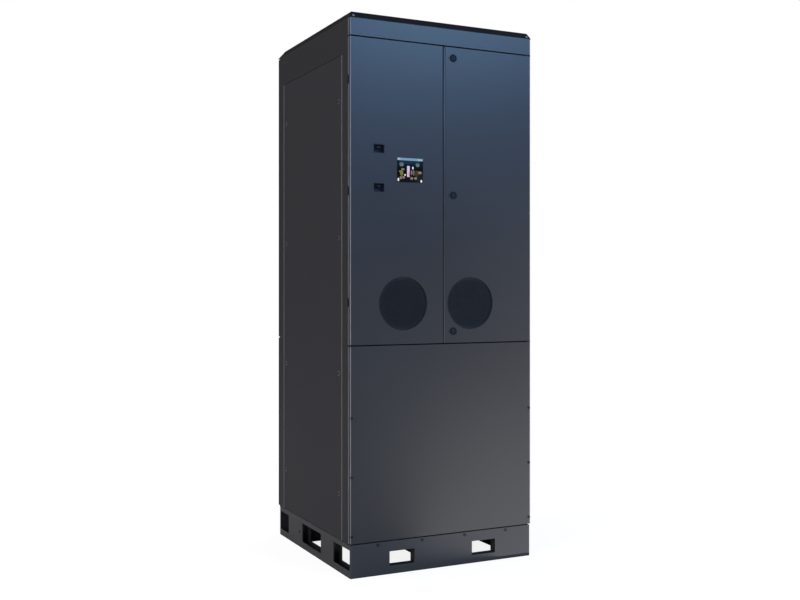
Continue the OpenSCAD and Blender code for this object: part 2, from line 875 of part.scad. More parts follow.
module switch_pockets() {
  w = switch_w / 2 - hole_gap;
  h = switch_h / 2 - hole_gap;
  wall = 1.8;
  color("#1c1d1f") for (z = switch_z) translate([-switch_x, 0, z]) difference() {
    union() {
      block([-w, -half_d, -h], [w, -half_d + switch_d, h]);
      block([-w - 5, -inner_skin, -h - 5], [w + 5, -inner_skin + 1.5, h + 5]);
    }
    block([-w + wall, -half_d - 1, -h + wall], [w - wall, -half_d + switch_d - wall, h - wall]);
    translate([-w - 1, toggle_y, 0]) rotate([0, 90, 0]) cylinder(r = toggle_r + fit_gap, h = 2 * w + 2);
  }
}

module toggle(z) {
  w = switch_w / 2 - hole_gap;
  color("#3a3c40") translate([-switch_x, toggle_y, z]) {
    translate([-w, 0, 0]) rotate([0, 90, 0]) cylinder(r = toggle_r, h = 2 * w);
    rotate([-25, 0, 0]) block([-8, -12, -3], [8, 3, 3]);
  }
}

module upper_toggle() { toggle(switch_z[1]); }

module lower_toggle() { toggle(switch_z[0]); }

// ---- Fans ----

grille_flange_t = 1.5;
grille_depth = 6;
axle_r = 4;
motor_cup_r = 32;
motor_cup_l = 18;

// Turns a shape made along +Z to run along +Y from the inner face of the door skin
module at_fan(x) {
  translate([x, -inner_skin, fan_z]) rotate([-90, 0, 0]) children();
}

module fan_grille(x) {
  f = grille_flange_t;
  r = fan_r - 0.5;
  rows = floor(fan_r / grille_pitch);
  color("#202226") at_fan(x) difference() {
    rotate_extrude() polygon([
      [0, grille_depth], [r - 2, grille_depth], [r - 2, 0], [fan_r + fan_wall, 0],
      [fan_r + fan_wall, f], [r, f], [r, grille_depth + 2], [0, grille_depth + 2]
    ]);
    for (i = [-rows : rows], j = [-rows : rows]) {
      p = [(i + (j % 2) / 2) * grille_pitch, j * grille_pitch * sqrt(3) / 2];
      if (norm(p) < r - 2 - grille_hole_r - 2)
        translate([p.x, p.y, grille_depth - 1]) cylinder(r = grille_hole_r, h = 4);
    }
  }
}

module fan_housing(x) {
  l = fan_d - sheet_t;
  color("#2a2c2f") at_fan(x) {
    difference() {
      translate([0, 0, grille_flange_t]) cylinder(r = fan_r + fan_wall, h = l - grille_flange_t);
      cylinder(r = fan_r, h = l + 1);
    }
    for (a = [0 : 90 : 270]) rotate([0, 0, a + 45])
      block([motor_cup_r - 2, -4, l - 8], [fan_r + 1, 4, l]);
    translate([0, 0, l - motor_cup_l]) cylinder(r = motor_cup_r, h = motor_cup_l);
    translate([0, 0, grille_depth + 8]) cylinder(r = axle_r, h = l - grille_depth - 9);
  }
}

module fan_rotor(x) {
  z0 = grille_depth + 11;
  z1 = fan_d - sheet_t - motor_cup_l - 1;
  hub_r = motor_cup_r + 3;
  color("#4a4d52") at_fan(x) difference() {
    union() {
      translate([0, 0, z0]) cylinder(r = hub_r, h = z1 - z0);
      for (i = [0 : blade_count - 1])
        rotate([0, 0, i * 360 / blade_count]) translate([0, 0, (z0 + z1) / 2])
          rotate([30, 0, 0]) block([hub_r - 3, -18, -1.5], [fan_r - 5, 18, 1.5]);
    }
    cylinder(r = axle_r + fit_gap, h = fan_d);
  }
}

module left_fan_grille() { fan_grille(-fan_left_x); }

module left_fan_housing() { fan_housing(-fan_left_x); }

module left_fan_rotor() { fan_rotor(-fan_left_x); }

module right_fan_grille() { fan_grille(fan_right_x); }

module right_fan_housing() { fan_housing(fan_right_x); }

module right_fan_rotor() { fan_rotor(fan_right_x); }

// ---- Quarter-turn locks ----

barrel_r = 11;
core_r = 8;
lock_proud = 3;

module lock_housings() {
  color(dark_paint) for (z = lock_z) difference() {
    union() {
      along_y([lock_x, -half_d - lock_proud, z], lock_r, lock_proud);
      along_y([lock_x, -half_d, z], barrel_r, 14);
      along_y([lock_x, -inner_skin, z], barrel_r + 4, 3);
    }
    along_y([lock_x, -half_d - 10, z], core_r + fit_gap, 40);
  }
}

module lock(z, l, turn) {
  y0 = -half_d - lock_proud + 0.5;
  color(steel) translate([lock_x, 0, z]) difference() {
    union() {
      along_y([0, y0, 0], core_r, tongue_y + tongue_t - y0);
      translate([0, tongue_y, 0]) rotate([0, turn, 0]) tongue(l);
    }
    block([-6, y0 - 1, -1], [6, y0 + 2, 1]);
  }
}

module top_lock() { lock(lock_z[2], tongue_l, 0); }

module middle_lock() { lock(lock_z[1], tongue_l, 0); }

module bottom_lock() { lock(lock_z[0], bottom_tongue_l, -90); }

// ---- Heat exchanger ----

tie_r = 8;
tie_inset = 12;
tie_nut = 10;
tie_end = 60;
tie_pitch = (exchanger_h - 2 * tie_end) / 3;

module exchanger_frame() {
  w = exchanger_w / 2;
  z1 = exchanger_z + exchanger_h;
  color("#3c6e9a") difference() {
    union() {
      block([-w, head_plate_y0, exchanger_z], [w, head_plate_y1, z1]);
      block([-w, pressure_plate_y0, exchanger_z], [w, pressure_plate_y0 + end_plate_t, z1]);
      both_sides() for (i = [0 : 3])
        along_y([w - tie_inset, pressure_plate_y0 - tie_overhang, exchanger_z + tie_end + i * tie_pitch],
                tie_r, head_plate_y1 - pressure_plate_y0 + tie_overhang + tie_nut);
    }
    both_sides() for (z = exchanger_port_z)
      along_y([pipe_x, head_plate_y0 - 1, z], bore_r, end_plate_t + 2);
  }
}

module exchanger_plates() {
  w = exchanger_w / 2 - tie_inset - tie_r - 4;
  y0 = pressure_plate_y0 + end_plate_t;
  count = 16;
  pitch = exchanger_pack / count;
  color(steel) {
    block([-w + 3, y0, exchanger_z + 18], [w - 3, head_plate_y0, exchanger_z + exchanger_h - 18]);
    for (i = [0 : count - 1])
      block([-w, y0 + (i + 0.3) * pitch, exchanger_z + 15],
            [w, y0 + (i + 0.7) * pitch, exchanger_z + exchanger_h - 15]);
  }
}

// ---- Pumps ----

casing_r = 75;
casing_h = 130;
casing_z = pump_z - casing_h / 2;
impeller_r = 52;
shaft_r = 12;
motor_z = casing_z + casing_h + 28;
rotor_r = 48;

pump_port_l = 90;

module pump(x) {
  port_l = pump_port_l;
  color("#2d5f8b") translate([x, pump_y, 0]) difference() {
    union() {
      translate([0, 0, base_h + sheet_t]) cylinder(r = 55, h = casing_z - base_h - sheet_t);
      translate([0, 0, casing_z]) cylinder(r = casing_r, h = casing_h);
      along_y([0, -port_l, pump_z], pipe_r, 2 * port_l);
      for (y = [-port_l, port_l - 14])
        along_y([0, y, pump_z], pipe_r + 16, 14);
      translate([0, 0, casing_z + casing_h]) cylinder(r = 60, h = 28);
      translate([0, 0, motor_z]) cylinder(r = motor_r - 8, h = motor_h);
      for (i = [0 : 23]) rotate([0, 0, i * 15])
        block([motor_r - 10, -2, motor_z + 20], [motor_r, 2, motor_z + motor_h - 30]);
      block([motor_r - 20, -35, motor_z + 90], [motor_r + 22, 35, motor_z + 170]);
    }
    along_y([0, -port_l - 1, pump_z], bore_r, 2 * port_l + 2);
    translate([0, 0, casing_z + 20]) cylinder(r = impeller_r + 5, h = casing_h - 40);
    translate([0, 0, casing_z + 20]) cylinder(r = shaft_r + fit_gap, h = motor_z + motor_h - casing_z - 30);
    translate([0, 0, motor_z + 30]) cylinder(r = rotor_r + 1, h = motor_h - 70);
  }
}

module pump_shaft(x) {
  z0 = casing_z + 20 + loose_gap;
  color(steel) translate([x, pump_y, 0]) {
    translate([0, 0, z0]) cylinder(r = shaft_r, h = motor_z + motor_h - 11 - z0);
    translate([0, 0, z0]) cylinder(r = impeller_r, h = 40);
    translate([0, 0, motor_z + 31]) cylinder(r = rotor_r, h = motor_h - 72);
  }
}

module left_pump() { mirror([1, 0, 0]) pump(pump_x); }

module right_pump() { pump(pump_x); }

module left_pump_shaft() { pump_shaft(-pump_x); }

module right_pump_shaft() { pump_shaft(pump_x); }

// ---- Pipework ----

// A quarter bend in the YZ plane, from angle a to a + 90, measured from +Y towards +Z
module bend(x, y, z, a) {
  translate([x, y, z]) rotate([90, 0, 90]) rotate([0, 0, a])
    rotate_extrude(angle = 90) translate([bend_r, 0]) difference() {
      circle(pipe_r);
      circle(bore_r);
    }
}

// Solid lengths, between two heights and between two depths
module upright(x, y, z0, z1, r) {
  translate([x, y, z0]) cylinder(r = r, h = z1 - z0);
}

module level(x, y0, y1, z, r) {
  along_y([x, y0, z], r, y1 - y0);
}

// The same lengths as open pipe
module upright_pipe(x, y, z0, z1) {
  difference() {
    upright(x, y, z0, z1, pipe_r);
    upright(x, y, z0 - 1, z1 + 1, bore_r);
  }
}

module level_pipe(x, y0, y1, z) {
  difference() {
    level(x, y0, y1, z, pipe_r);
    level(x, y0 - 1, y1 + 1, z, bore_r);
  }
}

module connection_stubs() {
  color(steel) both_sides() for (z = [pipe_low_z, pipe_high_z]) difference() {
    union() {
      level(pipe_x, stub_y0, stub_y1, z, pipe_r);
      level(pipe_x, stub_y1 - flange_t, stub_y1, z, flange_r);
    }
    level(pipe_x, stub_y0 - 1, stub_y1 + 1, z, bore_r);
    for (i = [0 : 7])
      translate([pipe_x, 0, z]) rotate([0, i * 45 + 22.5, 0])
        along_y([flange_pcd / 2, stub_y1 - flange_t - 1, 0], flange_hole_r, flange_t + 2);
  }
}

// From an upper port of the heat exchanger out and down to a height
module high_top(x, z) {
  level_pipe(x, head_plate_y1, riser_high_y - bend_r, exchanger_port_z[1]);
  bend(x, riser_high_y - bend_r, exchanger_port_z[1] - bend_r, 0);
  upright_pipe(x, riser_high_y, z, exchanger_port_z[1] - bend_r);
}

// From a height down to the upper stub
module high_foot(x, z) {
  upright_pipe(x, riser_high_y, pipe_high_z + bend_r, z);
  bend(x, stub_y0, pipe_high_z + bend_r, 180);
}

valve_z0 = pipe_high_z + 320;
valve_l = 150;

module facility_pipes() {
  x = pipe_x;
  color("#3f7f5f") {
    high_foot(x, valve_z0);
    high_top(x, valve_z0 + valve_l);
    bend(x, head_plate_y1, exchanger_port_z[0] - bend_r, 0);
    upright_pipe(x, riser_low_y, pipe_low_z + bend_r, exchanger_port_z[0] - bend_r);
    bend(x, riser_low_y + bend_r, pipe_low_z + bend_r, 180);
    level_pipe(x, riser_low_y + bend_r, stub_y0, pipe_low_z);
    valve_body(x);
  }
}

// A header across the cabinet with closed ends, its two branches and its upright.
// r is the outer or the inner radius, and e lengthens the open ends to cut the bore
module manifold(y, branch_y, z1, r, e) {
  l = pump_x + 62 + r - pipe_r;
  out = branch_y > y ? e : -e;
  translate([-l, y, pump_z]) rotate([0, 90, 0]) cylinder(r = r + header_extra_r, h = 2 * l);
  for (s = [-1, 1])
    level(s * pump_x, min(y, branch_y + out), max(y, branch_y + out), pump_z, r);
  upright(-pipe_x, y, pump_z, z1 + e, r);
}

module open_manifold(y, branch_y, z1) {
  difference() {
    manifold(y, branch_y, z1, pipe_r, 0);
    manifold(y, branch_y, z1, bore_r, 1);
  }
}

module technology_pipes() {
  x = -pipe_x;
  suction_y = header_rear_y + bend_r;
  discharge_y = header_front_y + bend_r;
  color("#9b3b32") {
    // Supply: from the upper port down to the upper stub
    high_top(x, valve_z0);
    high_foot(x, valve_z0);
    // Return: from the lower stub down into the rear header
    level_pipe(x, suction_y, stub_y0, pipe_low_z);
    bend(x, suction_y, pipe_low_z - bend_r, 90);
    open_manifold(header_rear_y, pump_y + pump_port_l, pipe_low_z - bend_r);
    // Discharge: from the front header up, back and into the lower port
    open_manifold(header_front_y, pump_y - pump_port_l, under_z - bend_r);
    bend(x, discharge_y, under_z - bend_r, 90);
    level_pipe(x, discharge_y, head_plate_y1, under_z);
    bend(x, head_plate_y1, under_z + bend_r, 270);
    upright_pipe(x, riser_low_y, under_z + bend_r, exchanger_port_z[0] - bend_r);
    bend(x, head_plate_y1, exchanger_port_z[0] - bend_r, 0);
    valve_body(x);
  }
}

stem_r = 6;
stem_z = pipe_low_z + pipe_r + 24;

// Body and stem of an isolation valve, around a lower pipe
module valve_body(x) {
  difference() {
    union() {
      along_y([x, valve_y - 30, pipe_low_z], pipe_r + 12, 60);
      translate([x, valve_y, pipe_low_z + pipe_r]) cylinder(r = 16, h = 24);
      translate([x, valve_y, pipe_low_z + pipe_r]) cylinder(r = stem_r, h = 36);
    }
    along_y([x, valve_y - 31, pipe_low_z], pipe_r - 1, 62);
  }
}

module valve_lever(x) {
  color("#b3262a") translate([x, valve_y, stem_z + loose_gap]) difference() {
    union() {
      cylinder(r = 14, h = 8);
      block([-9, 0, 1], [9, post_face - valve_y - 6, 7]);
    }
    translate([0, 0, -1]) cylinder(r = stem_r + hole_gap, h = 12);
  }
}

module left_valve_lever() { valve_lever(-pipe_x); }

module right_valve_lever() { valve_lever(pipe_x); }

actuator_x = 100;
actuator_l = 90;
actuator_h = 110;
neck_r = 18;
neck_l = actuator_x + 10;
flange_l = 16;
flange_w = 26;

module control_valve() {
  z0 = valve_z0;
  middle_z = z0 + valve_l / 2;
  color("#55585c") translate([pipe_x, riser_high_y, 0]) difference() {
    union() {
      translate([0, 0, z0]) cylinder(r = pipe_r + 12, h = valve_l);
      for (z = [z0, z0 + valve_l - flange_l])
        translate([0, 0, z]) cylinder(r = pipe_r + flange_w, h = flange_l);
      translate([0, 0, middle_z]) rotate([0, 90, 0]) cylinder(r = neck_r, h = neck_l);
      block([actuator_x, -actuator_l / 2, middle_z - actuator_h / 2],
            [actuator_x + actuator_l, actuator_l / 2, middle_z + actuator_h / 2]);
    }
    translate([0, 0, z0 - 1]) cylinder(r = bore_r, h = valve_l + 2);
  }
}

module expansion_vessel() {
  color("#8d2f2b") translate([-shelf_x + vessel_gap + vessel_r, vessel_y, shelf_z1]) {
    cylinder(r = vessel_foot_r, h = 34);
    translate([0, 0, 20]) rotate_extrude() difference() {
      union() {
        translate([0, 30]) square([vessel_r, vessel_h - 60]);
        translate([0, 0]) square([vessel_r - 30, vessel_h]);
        for (z = [30, vessel_h - 30])
          translate([vessel_r - 30, z]) circle(30);
      }
      translate([-vessel_r * 2, -1]) square([vessel_r * 2, vessel_h + 2]);
    }
    translate([0, 0, vessel_h + 19]) cylinder(r = 12, h = 40);
  }
}

// ---- Control panel ----

panel_gap = 41;
panel_plate_t = 3;
panel_side_gap = 24;
device_gap = 28;
panel_plate_y = pressure_plate_y0 - tie_overhang - panel_gap;
device_d = panel_plate_y + post_face - mullion_d - device_gap;

// A device on the mounting plate, by its middle, how far its upper edge lies below the plate's, its
// width, its height, and how much shallower it is than the deepest device
module device(x, drop, w, h, shallow) {
  z1 = side_rail_z - drop;
  block([x - w / 2, panel_plate_y - device_d + shallow, z1 - h], [x + w / 2, panel_plate_y, z1]);
}

module control_panel() {
  x = half_w - panel_side_gap;
  row_x = -300;
  color("#d4d2c8") {
    block([-x, panel_plate_y, shelf_z1], [x, panel_plate_y + panel_plate_t, side_rail_z]);
    // Wiring duct
    device(0, 104, 620, 50, 33);
    // Terminals
    for (i = [0 : 29])
      device(row_x + i * 7, 184, 5.5, 60, 43);
    // Power supply
    device(210, 254, 180, 120, 3);
    // Circuit breakers
    for (i = [0 : 7])
      device(row_x + i * 22, 349, 18, 85, 18);
    // Pump drives
    for (s = [-1, 1])
      device(s * 95, 434, 150, 340, 0);
    // Main switch and controller
    device(265, 524, 140, 220, 8);
    device(-265, 564, 130, 110, 18);
  }
}

base_front_plate();
base_rear_plate();
base_side_rails();
base_centre_rail();
base_cross_beams();
drip_tray();
front_posts();
rear_posts();
top_side_rails();
top_cross_rails();
mid_rails();
door_mullion();
roof_panel();
frame_hinges();
header_panel();
lower_front_panel();
left_side_panel();
right_side_panel();
rear_pipe_panel();
panel_screws();
rear_door();
rear_door_seal();
rear_door_hinges();
rear_door_handle();
left_door();
left_door_seal();
left_door_hinges();
left_door_bolt();
display_housing();
display_screen();
switch_pockets();
upper_toggle();
lower_toggle();
left_fan_grille();
left_fan_housing();
left_fan_rotor();
right_door();
right_door_seal();
right_door_hinges();
lock_housings();
top_lock();
middle_lock();
bottom_lock();
right_fan_grille();
right_fan_housing();
right_fan_rotor();
exchanger_frame();
exchanger_plates();
left_pump();
right_pump();
left_pump_shaft();
right_pump_shaft();
connection_stubs();
facility_pipes();
technology_pipes();
control_valve();
expansion_vessel();
left_valve_lever();
right_valve_lever();
control_panel();
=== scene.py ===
# %% [markdown]
# # A coolant distribution cabinet in Blender
# The cabinet stands in a data centre and pumps clean water between the racks and a plate heat
# exchanger. Its frame, doors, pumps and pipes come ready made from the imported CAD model. This
# lesson gives each of them its finish and adds the small formed pieces that a CAD solid leaves
# plain: perforated grilles, the display, locks, louvre hoods, handle and electrical devices.

# %% Load the frame
import json
import math

import bmesh
import bpy
from mathutils import Matrix, Vector


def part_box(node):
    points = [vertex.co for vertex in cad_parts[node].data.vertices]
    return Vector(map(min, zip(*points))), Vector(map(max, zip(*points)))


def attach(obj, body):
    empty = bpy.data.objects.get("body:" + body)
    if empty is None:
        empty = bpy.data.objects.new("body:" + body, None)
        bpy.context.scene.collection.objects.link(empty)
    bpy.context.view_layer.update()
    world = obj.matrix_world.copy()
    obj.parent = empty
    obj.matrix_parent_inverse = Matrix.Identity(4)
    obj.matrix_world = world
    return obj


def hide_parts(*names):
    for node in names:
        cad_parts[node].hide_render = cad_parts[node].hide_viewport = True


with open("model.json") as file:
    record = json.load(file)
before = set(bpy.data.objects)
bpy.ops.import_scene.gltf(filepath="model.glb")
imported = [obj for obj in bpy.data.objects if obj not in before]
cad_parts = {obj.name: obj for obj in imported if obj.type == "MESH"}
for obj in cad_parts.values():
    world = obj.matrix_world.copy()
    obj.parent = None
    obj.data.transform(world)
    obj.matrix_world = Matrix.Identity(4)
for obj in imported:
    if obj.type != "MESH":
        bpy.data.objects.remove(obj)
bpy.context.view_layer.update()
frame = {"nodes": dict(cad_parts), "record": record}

# %% [markdown]
# ## Camera
# A tall cabinet looks right when its upright edges stay parallel, so the camera is kept level, at
# half the cabinet's height, and looks at one front corner from about five cabinet depths away.

# %% Camera
CAMERA_PLACE = (-1.911, -3.933, 1.087)
CAMERA_TURN = math.radians(-25.96)
LENS, SENSOR, FRAME_SHIFT = 46.35, 36.0, -0.015


def new_object(name, data):
    made = bpy.data.objects.new(name, data)
    bpy.context.scene.collection.objects.link(made)
    return made


camera = new_object("camera", bpy.data.cameras.new("camera"))
camera.data.lens = LENS
camera.data.sensor_width = SENSOR
camera.data.shift_y = FRAME_SHIFT
camera.location = CAMERA_PLACE
camera.rotation_euler = (math.pi / 2, 0, CAMERA_TURN)
bpy.context.scene.camera = camera
bpy.context.scene.view_settings.view_transform = "Standard"
print("camera", CAMERA_PLACE, "lens", LENS)

# %% [markdown]
# ## Small helpers for node trees
# Every finish below is a node tree. These helpers feed a node's inputs, add a node, work out a
# number or a colour, and open and close a node group with named inputs and outputs, so that an
# effect is built once and used in many materials with different values.


# %% Node helpers
def feed(tree, node, sources):
    """Feeds inputs, by name or number, from other nodes' outputs or with plain values."""
    for label, source in sources.items():
        if isinstance(source, bpy.types.NodeSocket):
            tree.links.new(source, node.inputs[label])
        else:
            node.inputs[label].default_value = source


def add_node(tree, kind, sources=None, **settings):
    """A new node with its settings and what feeds its inputs."""
    node = tree.nodes.new("ShaderNode" + kind)
    for name, value in settings.items():
        setattr(node, name, value)
    feed(tree, node, sources or {})
    return node


def maths(tree, operation, first, second):
    return add_node(tree, "Math", {0: first, 1: second}, operation=operation).outputs[0]


def mix_colour(tree, share, first, second, blend="MIX"):
    return add_node(tree, "Mix", {0: share, 6: first, 7: second}, data_type="RGBA",
                    blend_type=blend).outputs[2]


def toned(tree, colour, tone):
    """A colour made lighter or darker by a factor."""
    grey = add_node(tree, "CombineXYZ", {0: tone, 1: tone, 2: tone}).outputs[0]
    return mix_colour(tree, 1.0, colour, grey, "MULTIPLY")


def swing(tree, noise, amount):
    """A noise that runs from 0 to 1, made to swing round zero."""
    return maths(tree, "MULTIPLY", maths(tree, "SUBTRACT", noise, 0.5), amount)


def on_piece(tree):
    """Where a point lies on its own piece, in metres."""
    return add_node(tree, "TexCoord").outputs["Object"]


def open_group(name, inputs, outputs):
    """A shader node group with its named inputs, their first values, and its named outputs."""
    group = bpy.data.node_groups.new(name, "ShaderNodeTree")
    for label, value in inputs.items():
        kind = "NodeSocketColor" if isinstance(value, tuple) else "NodeSocketFloat"
        socket = group.interface.new_socket(label, in_out="INPUT", socket_type=kind)
        socket.default_value = value
    for label, kind in outputs.items():
        group.interface.new_socket(label, in_out="OUTPUT", socket_type="NodeSocket" + kind)
    return group, group.nodes.new("NodeGroupInput").outputs


def close_group(group, results):
    feed(group, group.nodes.new("NodeGroupOutput"), results)
    print(group.name, "nodes", len(group.nodes))


SURFACE_OUTPUTS = {"Colour": "Color", "Roughness": "Float", "Height": "Float"}
DARK = (0.03, 0.03, 0.03, 1)

# %% [markdown]
# ## Effect: powder coat
# Powder coat is sprayed dry and baked, so it has a fine orange peel and very slight changes of
# tone and gloss from place to place. Two noises make the peel's height, and a wide noise drifts
# the colour and the roughness. Object coordinates keep the grain at its real size on every piece.

# %% Powder coat group
DRIFT_SCALE, PEEL_COARSENESS, GRAIN_SHARE, GLOSS_DRIFT = 2.2, 0.22, 0.35, 0.04
coat, coat_in = open_group("powder coat", {"Colour": DARK, "Roughness": 0.4, "Grain": 700.0,
                                           "Drift": 0.08}, SURFACE_OUTPUTS)
place = on_piece(coat)
peel_scale = maths(coat, "MULTIPLY", coat_in["Grain"], PEEL_COARSENESS)
grain = add_node(coat, "TexNoise", {"Vector": place, "Scale": coat_in["Grain"]}).outputs[0]
peel = add_node(coat, "TexNoise", {"Vector": place, "Scale": peel_scale}).outputs[0]
drift = add_node(coat, "TexNoise", {"Vector": place, "Scale": DRIFT_SCALE, "Detail": 3.0})
drift = swing(coat, drift.outputs[0], 2.0)
tone = maths(coat, "ADD", maths(coat, "MULTIPLY", drift, coat_in["Drift"]), 1.0)
gloss = maths(coat, "MULTIPLY", drift, GLOSS_DRIFT)
close_group(coat, {
    "Colour": toned(coat, coat_in["Colour"], tone),
    "Roughness": maths(coat, "ADD", coat_in["Roughness"], gloss),
    "Height": maths(coat, "ADD", maths(coat, "MULTIPLY", grain, GRAIN_SHARE), peel),
})

# %% [markdown]
# ## Effect: edge catch
# No folded sheet or casting has a perfectly sharp edge. The Bevel node bends the shading normal
# near an edge, which gives the thin bright line that real edges show, and comparing it with the
# true normal gives a mask for lighter paint there, which is partly rubbed wear and partly a
# painted highlight.

# %% Edge catch group
RUB_AND_HIGHLIGHT_SCALE, RUB_AND_HIGHLIGHT_STRENGTH, BEVEL_SAMPLES = 60.0, 5.0, 6
edge, edge_in = open_group("edge catch", {"Colour": DARK, "Worn and highlight": (0.2, 0.2, 0.2, 1),
                                          "Radius": 0.0015, "Amount": 0.3},
                           {"Colour": "Color", "Normal": "Vector"})
bent = add_node(edge, "Bevel", {"Radius": edge_in["Radius"]}, samples=BEVEL_SAMPLES).outputs[0]
true = add_node(edge, "NewGeometry").outputs["True Normal"]
along = add_node(edge, "VectorMath", {0: bent, 1: true}, operation="DOT_PRODUCT").outputs["Value"]
turn = maths(edge, "MULTIPLY", maths(edge, "SUBTRACT", 1.0, along), RUB_AND_HIGHLIGHT_STRENGTH)
patches = add_node(edge, "TexNoise", {"Vector": on_piece(edge), "Scale": RUB_AND_HIGHLIGHT_SCALE}).outputs[0]
# The lighter edge colour mixed in here is partly rubbed wear and partly a painted highlight.
rub_and_highlight = maths(edge, "MULTIPLY", maths(edge, "MULTIPLY", turn, patches), edge_in["Amount"])
share = add_node(edge, "Clamp", {0: rub_and_highlight}).outputs[0]
close_group(edge, {
    "Colour": mix_colour(edge, share, edge_in["Colour"], edge_in["Worn and highlight"]),
    "Normal": bent,
})

# %% [markdown]
# ## Effect: rolled metal
# Bare sheet and turned parts carry fine lines from the roll or the tool, and zinc has soft patches
# of crystal. A noise stretched along one axis makes the lines, and a Voronoi makes the patches.

# %% Rolled metal group
LINE_STRETCH, CRYSTAL_SCALE, LINE_GLOSS = (40.0, 40.0, 900.0), 90.0, 0.16
rolled, rolled_in = open_group("rolled metal", {"Colour": (0.5, 0.5, 0.5, 1), "Roughness": 0.35,
                                                "Spangle": 0.1}, SURFACE_OUTPUTS)
place = on_piece(rolled)
stretched = add_node(rolled, "Mapping", {"Vector": place, "Scale": LINE_STRETCH}).outputs[0]
lines = add_node(rolled, "TexNoise", {"Vector": stretched, "Scale": 1.0}).outputs[0]
crystals = add_node(rolled, "TexVoronoi", {"Vector": place, "Scale": CRYSTAL_SCALE})
crystal = add_node(rolled, "SeparateColor", {0: crystals.outputs["Color"]}).outputs[0]
spangle = swing(rolled, crystal, rolled_in["Spangle"])
gloss = maths(rolled, "ADD", rolled_in["Roughness"], swing(rolled, lines, LINE_GLOSS))
close_group(rolled, {
    "Colour": toned(rolled, rolled_in["Colour"], maths(rolled, "ADD", spangle, 1.0)),
    "Roughness": maths(rolled, "ADD", gloss, spangle),
    "Height": lines,
})

# %% [markdown]
# ## Finishes
# One function makes a finish from an effect group, the edge catch and a Principled shader. What is
# the same all over a surface, such as the metallic or specular level, is set on the shader itself.


# %% Finish function
def finish(slot, effect, colour, roughness, values, worn_and_highlight=(0.16, 0.16, 0.17), metallic=0.0,
           specular=0.5, peel=0.00004, edge_radius=0.0012, edge_amount=0.35):
    """Makes a slot's material from one effect group. values are the group's other inputs."""
    material = finishes[slot] = bpy.data.materials.new(slot.replace("_", " "))
    material.use_nodes = True
    tree = material.node_tree
    surface = add_node(tree, "Group", {"Colour": (*colour, 1), "Roughness": roughness, **values},
                       node_tree=effect).outputs
    # Along edges the lighter colour is partly rubbed wear and partly a painted highlight.
    edges = add_node(tree, "Group", {"Colour": surface["Colour"], "Worn and highlight": (*worn_and_highlight, 1),
                                     "Radius": edge_radius, "Amount": edge_amount},
                     node_tree=edge).outputs
    bump = add_node(tree, "Bump", {"Distance": peel, "Height": surface["Height"],
                                   "Normal": edges["Normal"]}).outputs[0]
    feed(tree, tree.nodes["Principled BSDF"], {
        "Base Color": edges["Colour"], "Roughness": surface["Roughness"], "Normal": bump,
        "Metallic": metallic, "Specular IOR Level": specular})
    material.diffuse_color = (*colour, 1)


def painted(slot, colour, roughness, grain, *worn_and_highlight, **more):
    """Paint, rubber or a moulding: anything with a fine grain and no metal in its surface."""
    finish(slot, coat, colour, roughness, grain, *worn_and_highlight, **more)


def metal(slot, colour, roughness, spangle, metallic, *worn_and_highlight, **more):
    """Bare or dull metal: lines from the roll or the tool, and some crystal."""
    values = {"Spangle": spangle}
    finish(slot, rolled, colour, roughness, values, *worn_and_highlight, metallic=metallic, **more)


finishes = {}

# %% [markdown]
# The cabinet's own paint is a dark blue-grey powder coat. The doors are a little glossier than the
# side covers, and the base and the roof are nearly black. The pipework inside is painted by
# circuit: green for the facility's water, red for the racks', and blue for the pumps and exchanger.

# %% Finishes of the cabinet
FINE = {"Grain": 900.0, "Drift": 0.05}
COARSE = {"Grain": 500.0, "Drift": 0.1}
SMOOTH = {"Grain": 260.0, "Drift": 0.04}
GLASS_PEEL, ROUGH_PEEL = 0.000002, 0.0002
painted("base_paint", (0.022, 0.022, 0.024), 0.48, FINE)
painted("frame_paint", (0.016, 0.015, 0.017), 0.55, FINE, specular=0.25)
painted("roof_paint", (0.008, 0.007, 0.008), 0.6, FINE, specular=0.12)
painted("cover_paint", (0.022, 0.020, 0.023), 0.58, FINE, specular=0.22)
painted("door_paint", (0.017, 0.0175, 0.020), 0.32, FINE, edge_radius=0.0006, edge_amount=0.1)
# The meeting strip's paint is a lighter copy of the door paint: painted light against the shade of the
# seam.
painted("strip_painted_light", (0.026, 0.027, 0.031), 0.34, FINE)
# A pale paint for the bars along the folds: a painted highlight, not a colour of the sheet.
painted("fold_highlight_paint", (0.27, 0.26, 0.28), 0.42, FINE, specular=0.4)
painted("seal_rubber", (0.012, 0.012, 0.012), 0.85, COARSE, specular=0.25, peel=ROUGH_PEEL)
painted("handle_black", (0.014, 0.014, 0.016), 0.42, SMOOTH)
painted("bezel_plastic", (0.005, 0.006, 0.009), 0.4, SMOOTH, specular=0.2, peel=0.00001)
painted("screen", (0.002, 0.003, 0.005), 0.10, SMOOTH, specular=0.12, peel=GLASS_PEEL,
        edge_amount=0.0)
painted("pocket_plastic", (0.010, 0.014, 0.032), 0.55, COARSE, specular=0.3)
painted("toggle_plastic", (0.008, 0.012, 0.028), 0.5, COARSE, specular=0.2)
painted("grille_black", (0.006, 0.007, 0.010), 0.45, FINE, specular=0.3)
painted("fan_plastic", (0.014, 0.014, 0.015), 0.5, COARSE)
painted("rotor_plastic", (0.022, 0.022, 0.024), 0.45, COARSE)
painted("lock_black", (0.003, 0.005, 0.014), 0.5, SMOOTH, specular=0.12)
metal("lock_steel", (0.009, 0.012, 0.022), 0.5, 0.05, 0.1, specular=0.2)
metal("screw_black", (0.010, 0.010, 0.012), 0.5, 0.05, 0.2, specular=0.25)
metal("dull_steel", (0.22, 0.22, 0.23), 0.45, 0.1, 0.7)
metal("galvanised", (0.42, 0.44, 0.45), 0.42, 0.22, 1.0, (0.6, 0.6, 0.6))
metal("zinc", (0.55, 0.56, 0.57), 0.32, 0.08, 1.0, (0.7, 0.7, 0.7))
print("cabinet finishes", len(finishes))

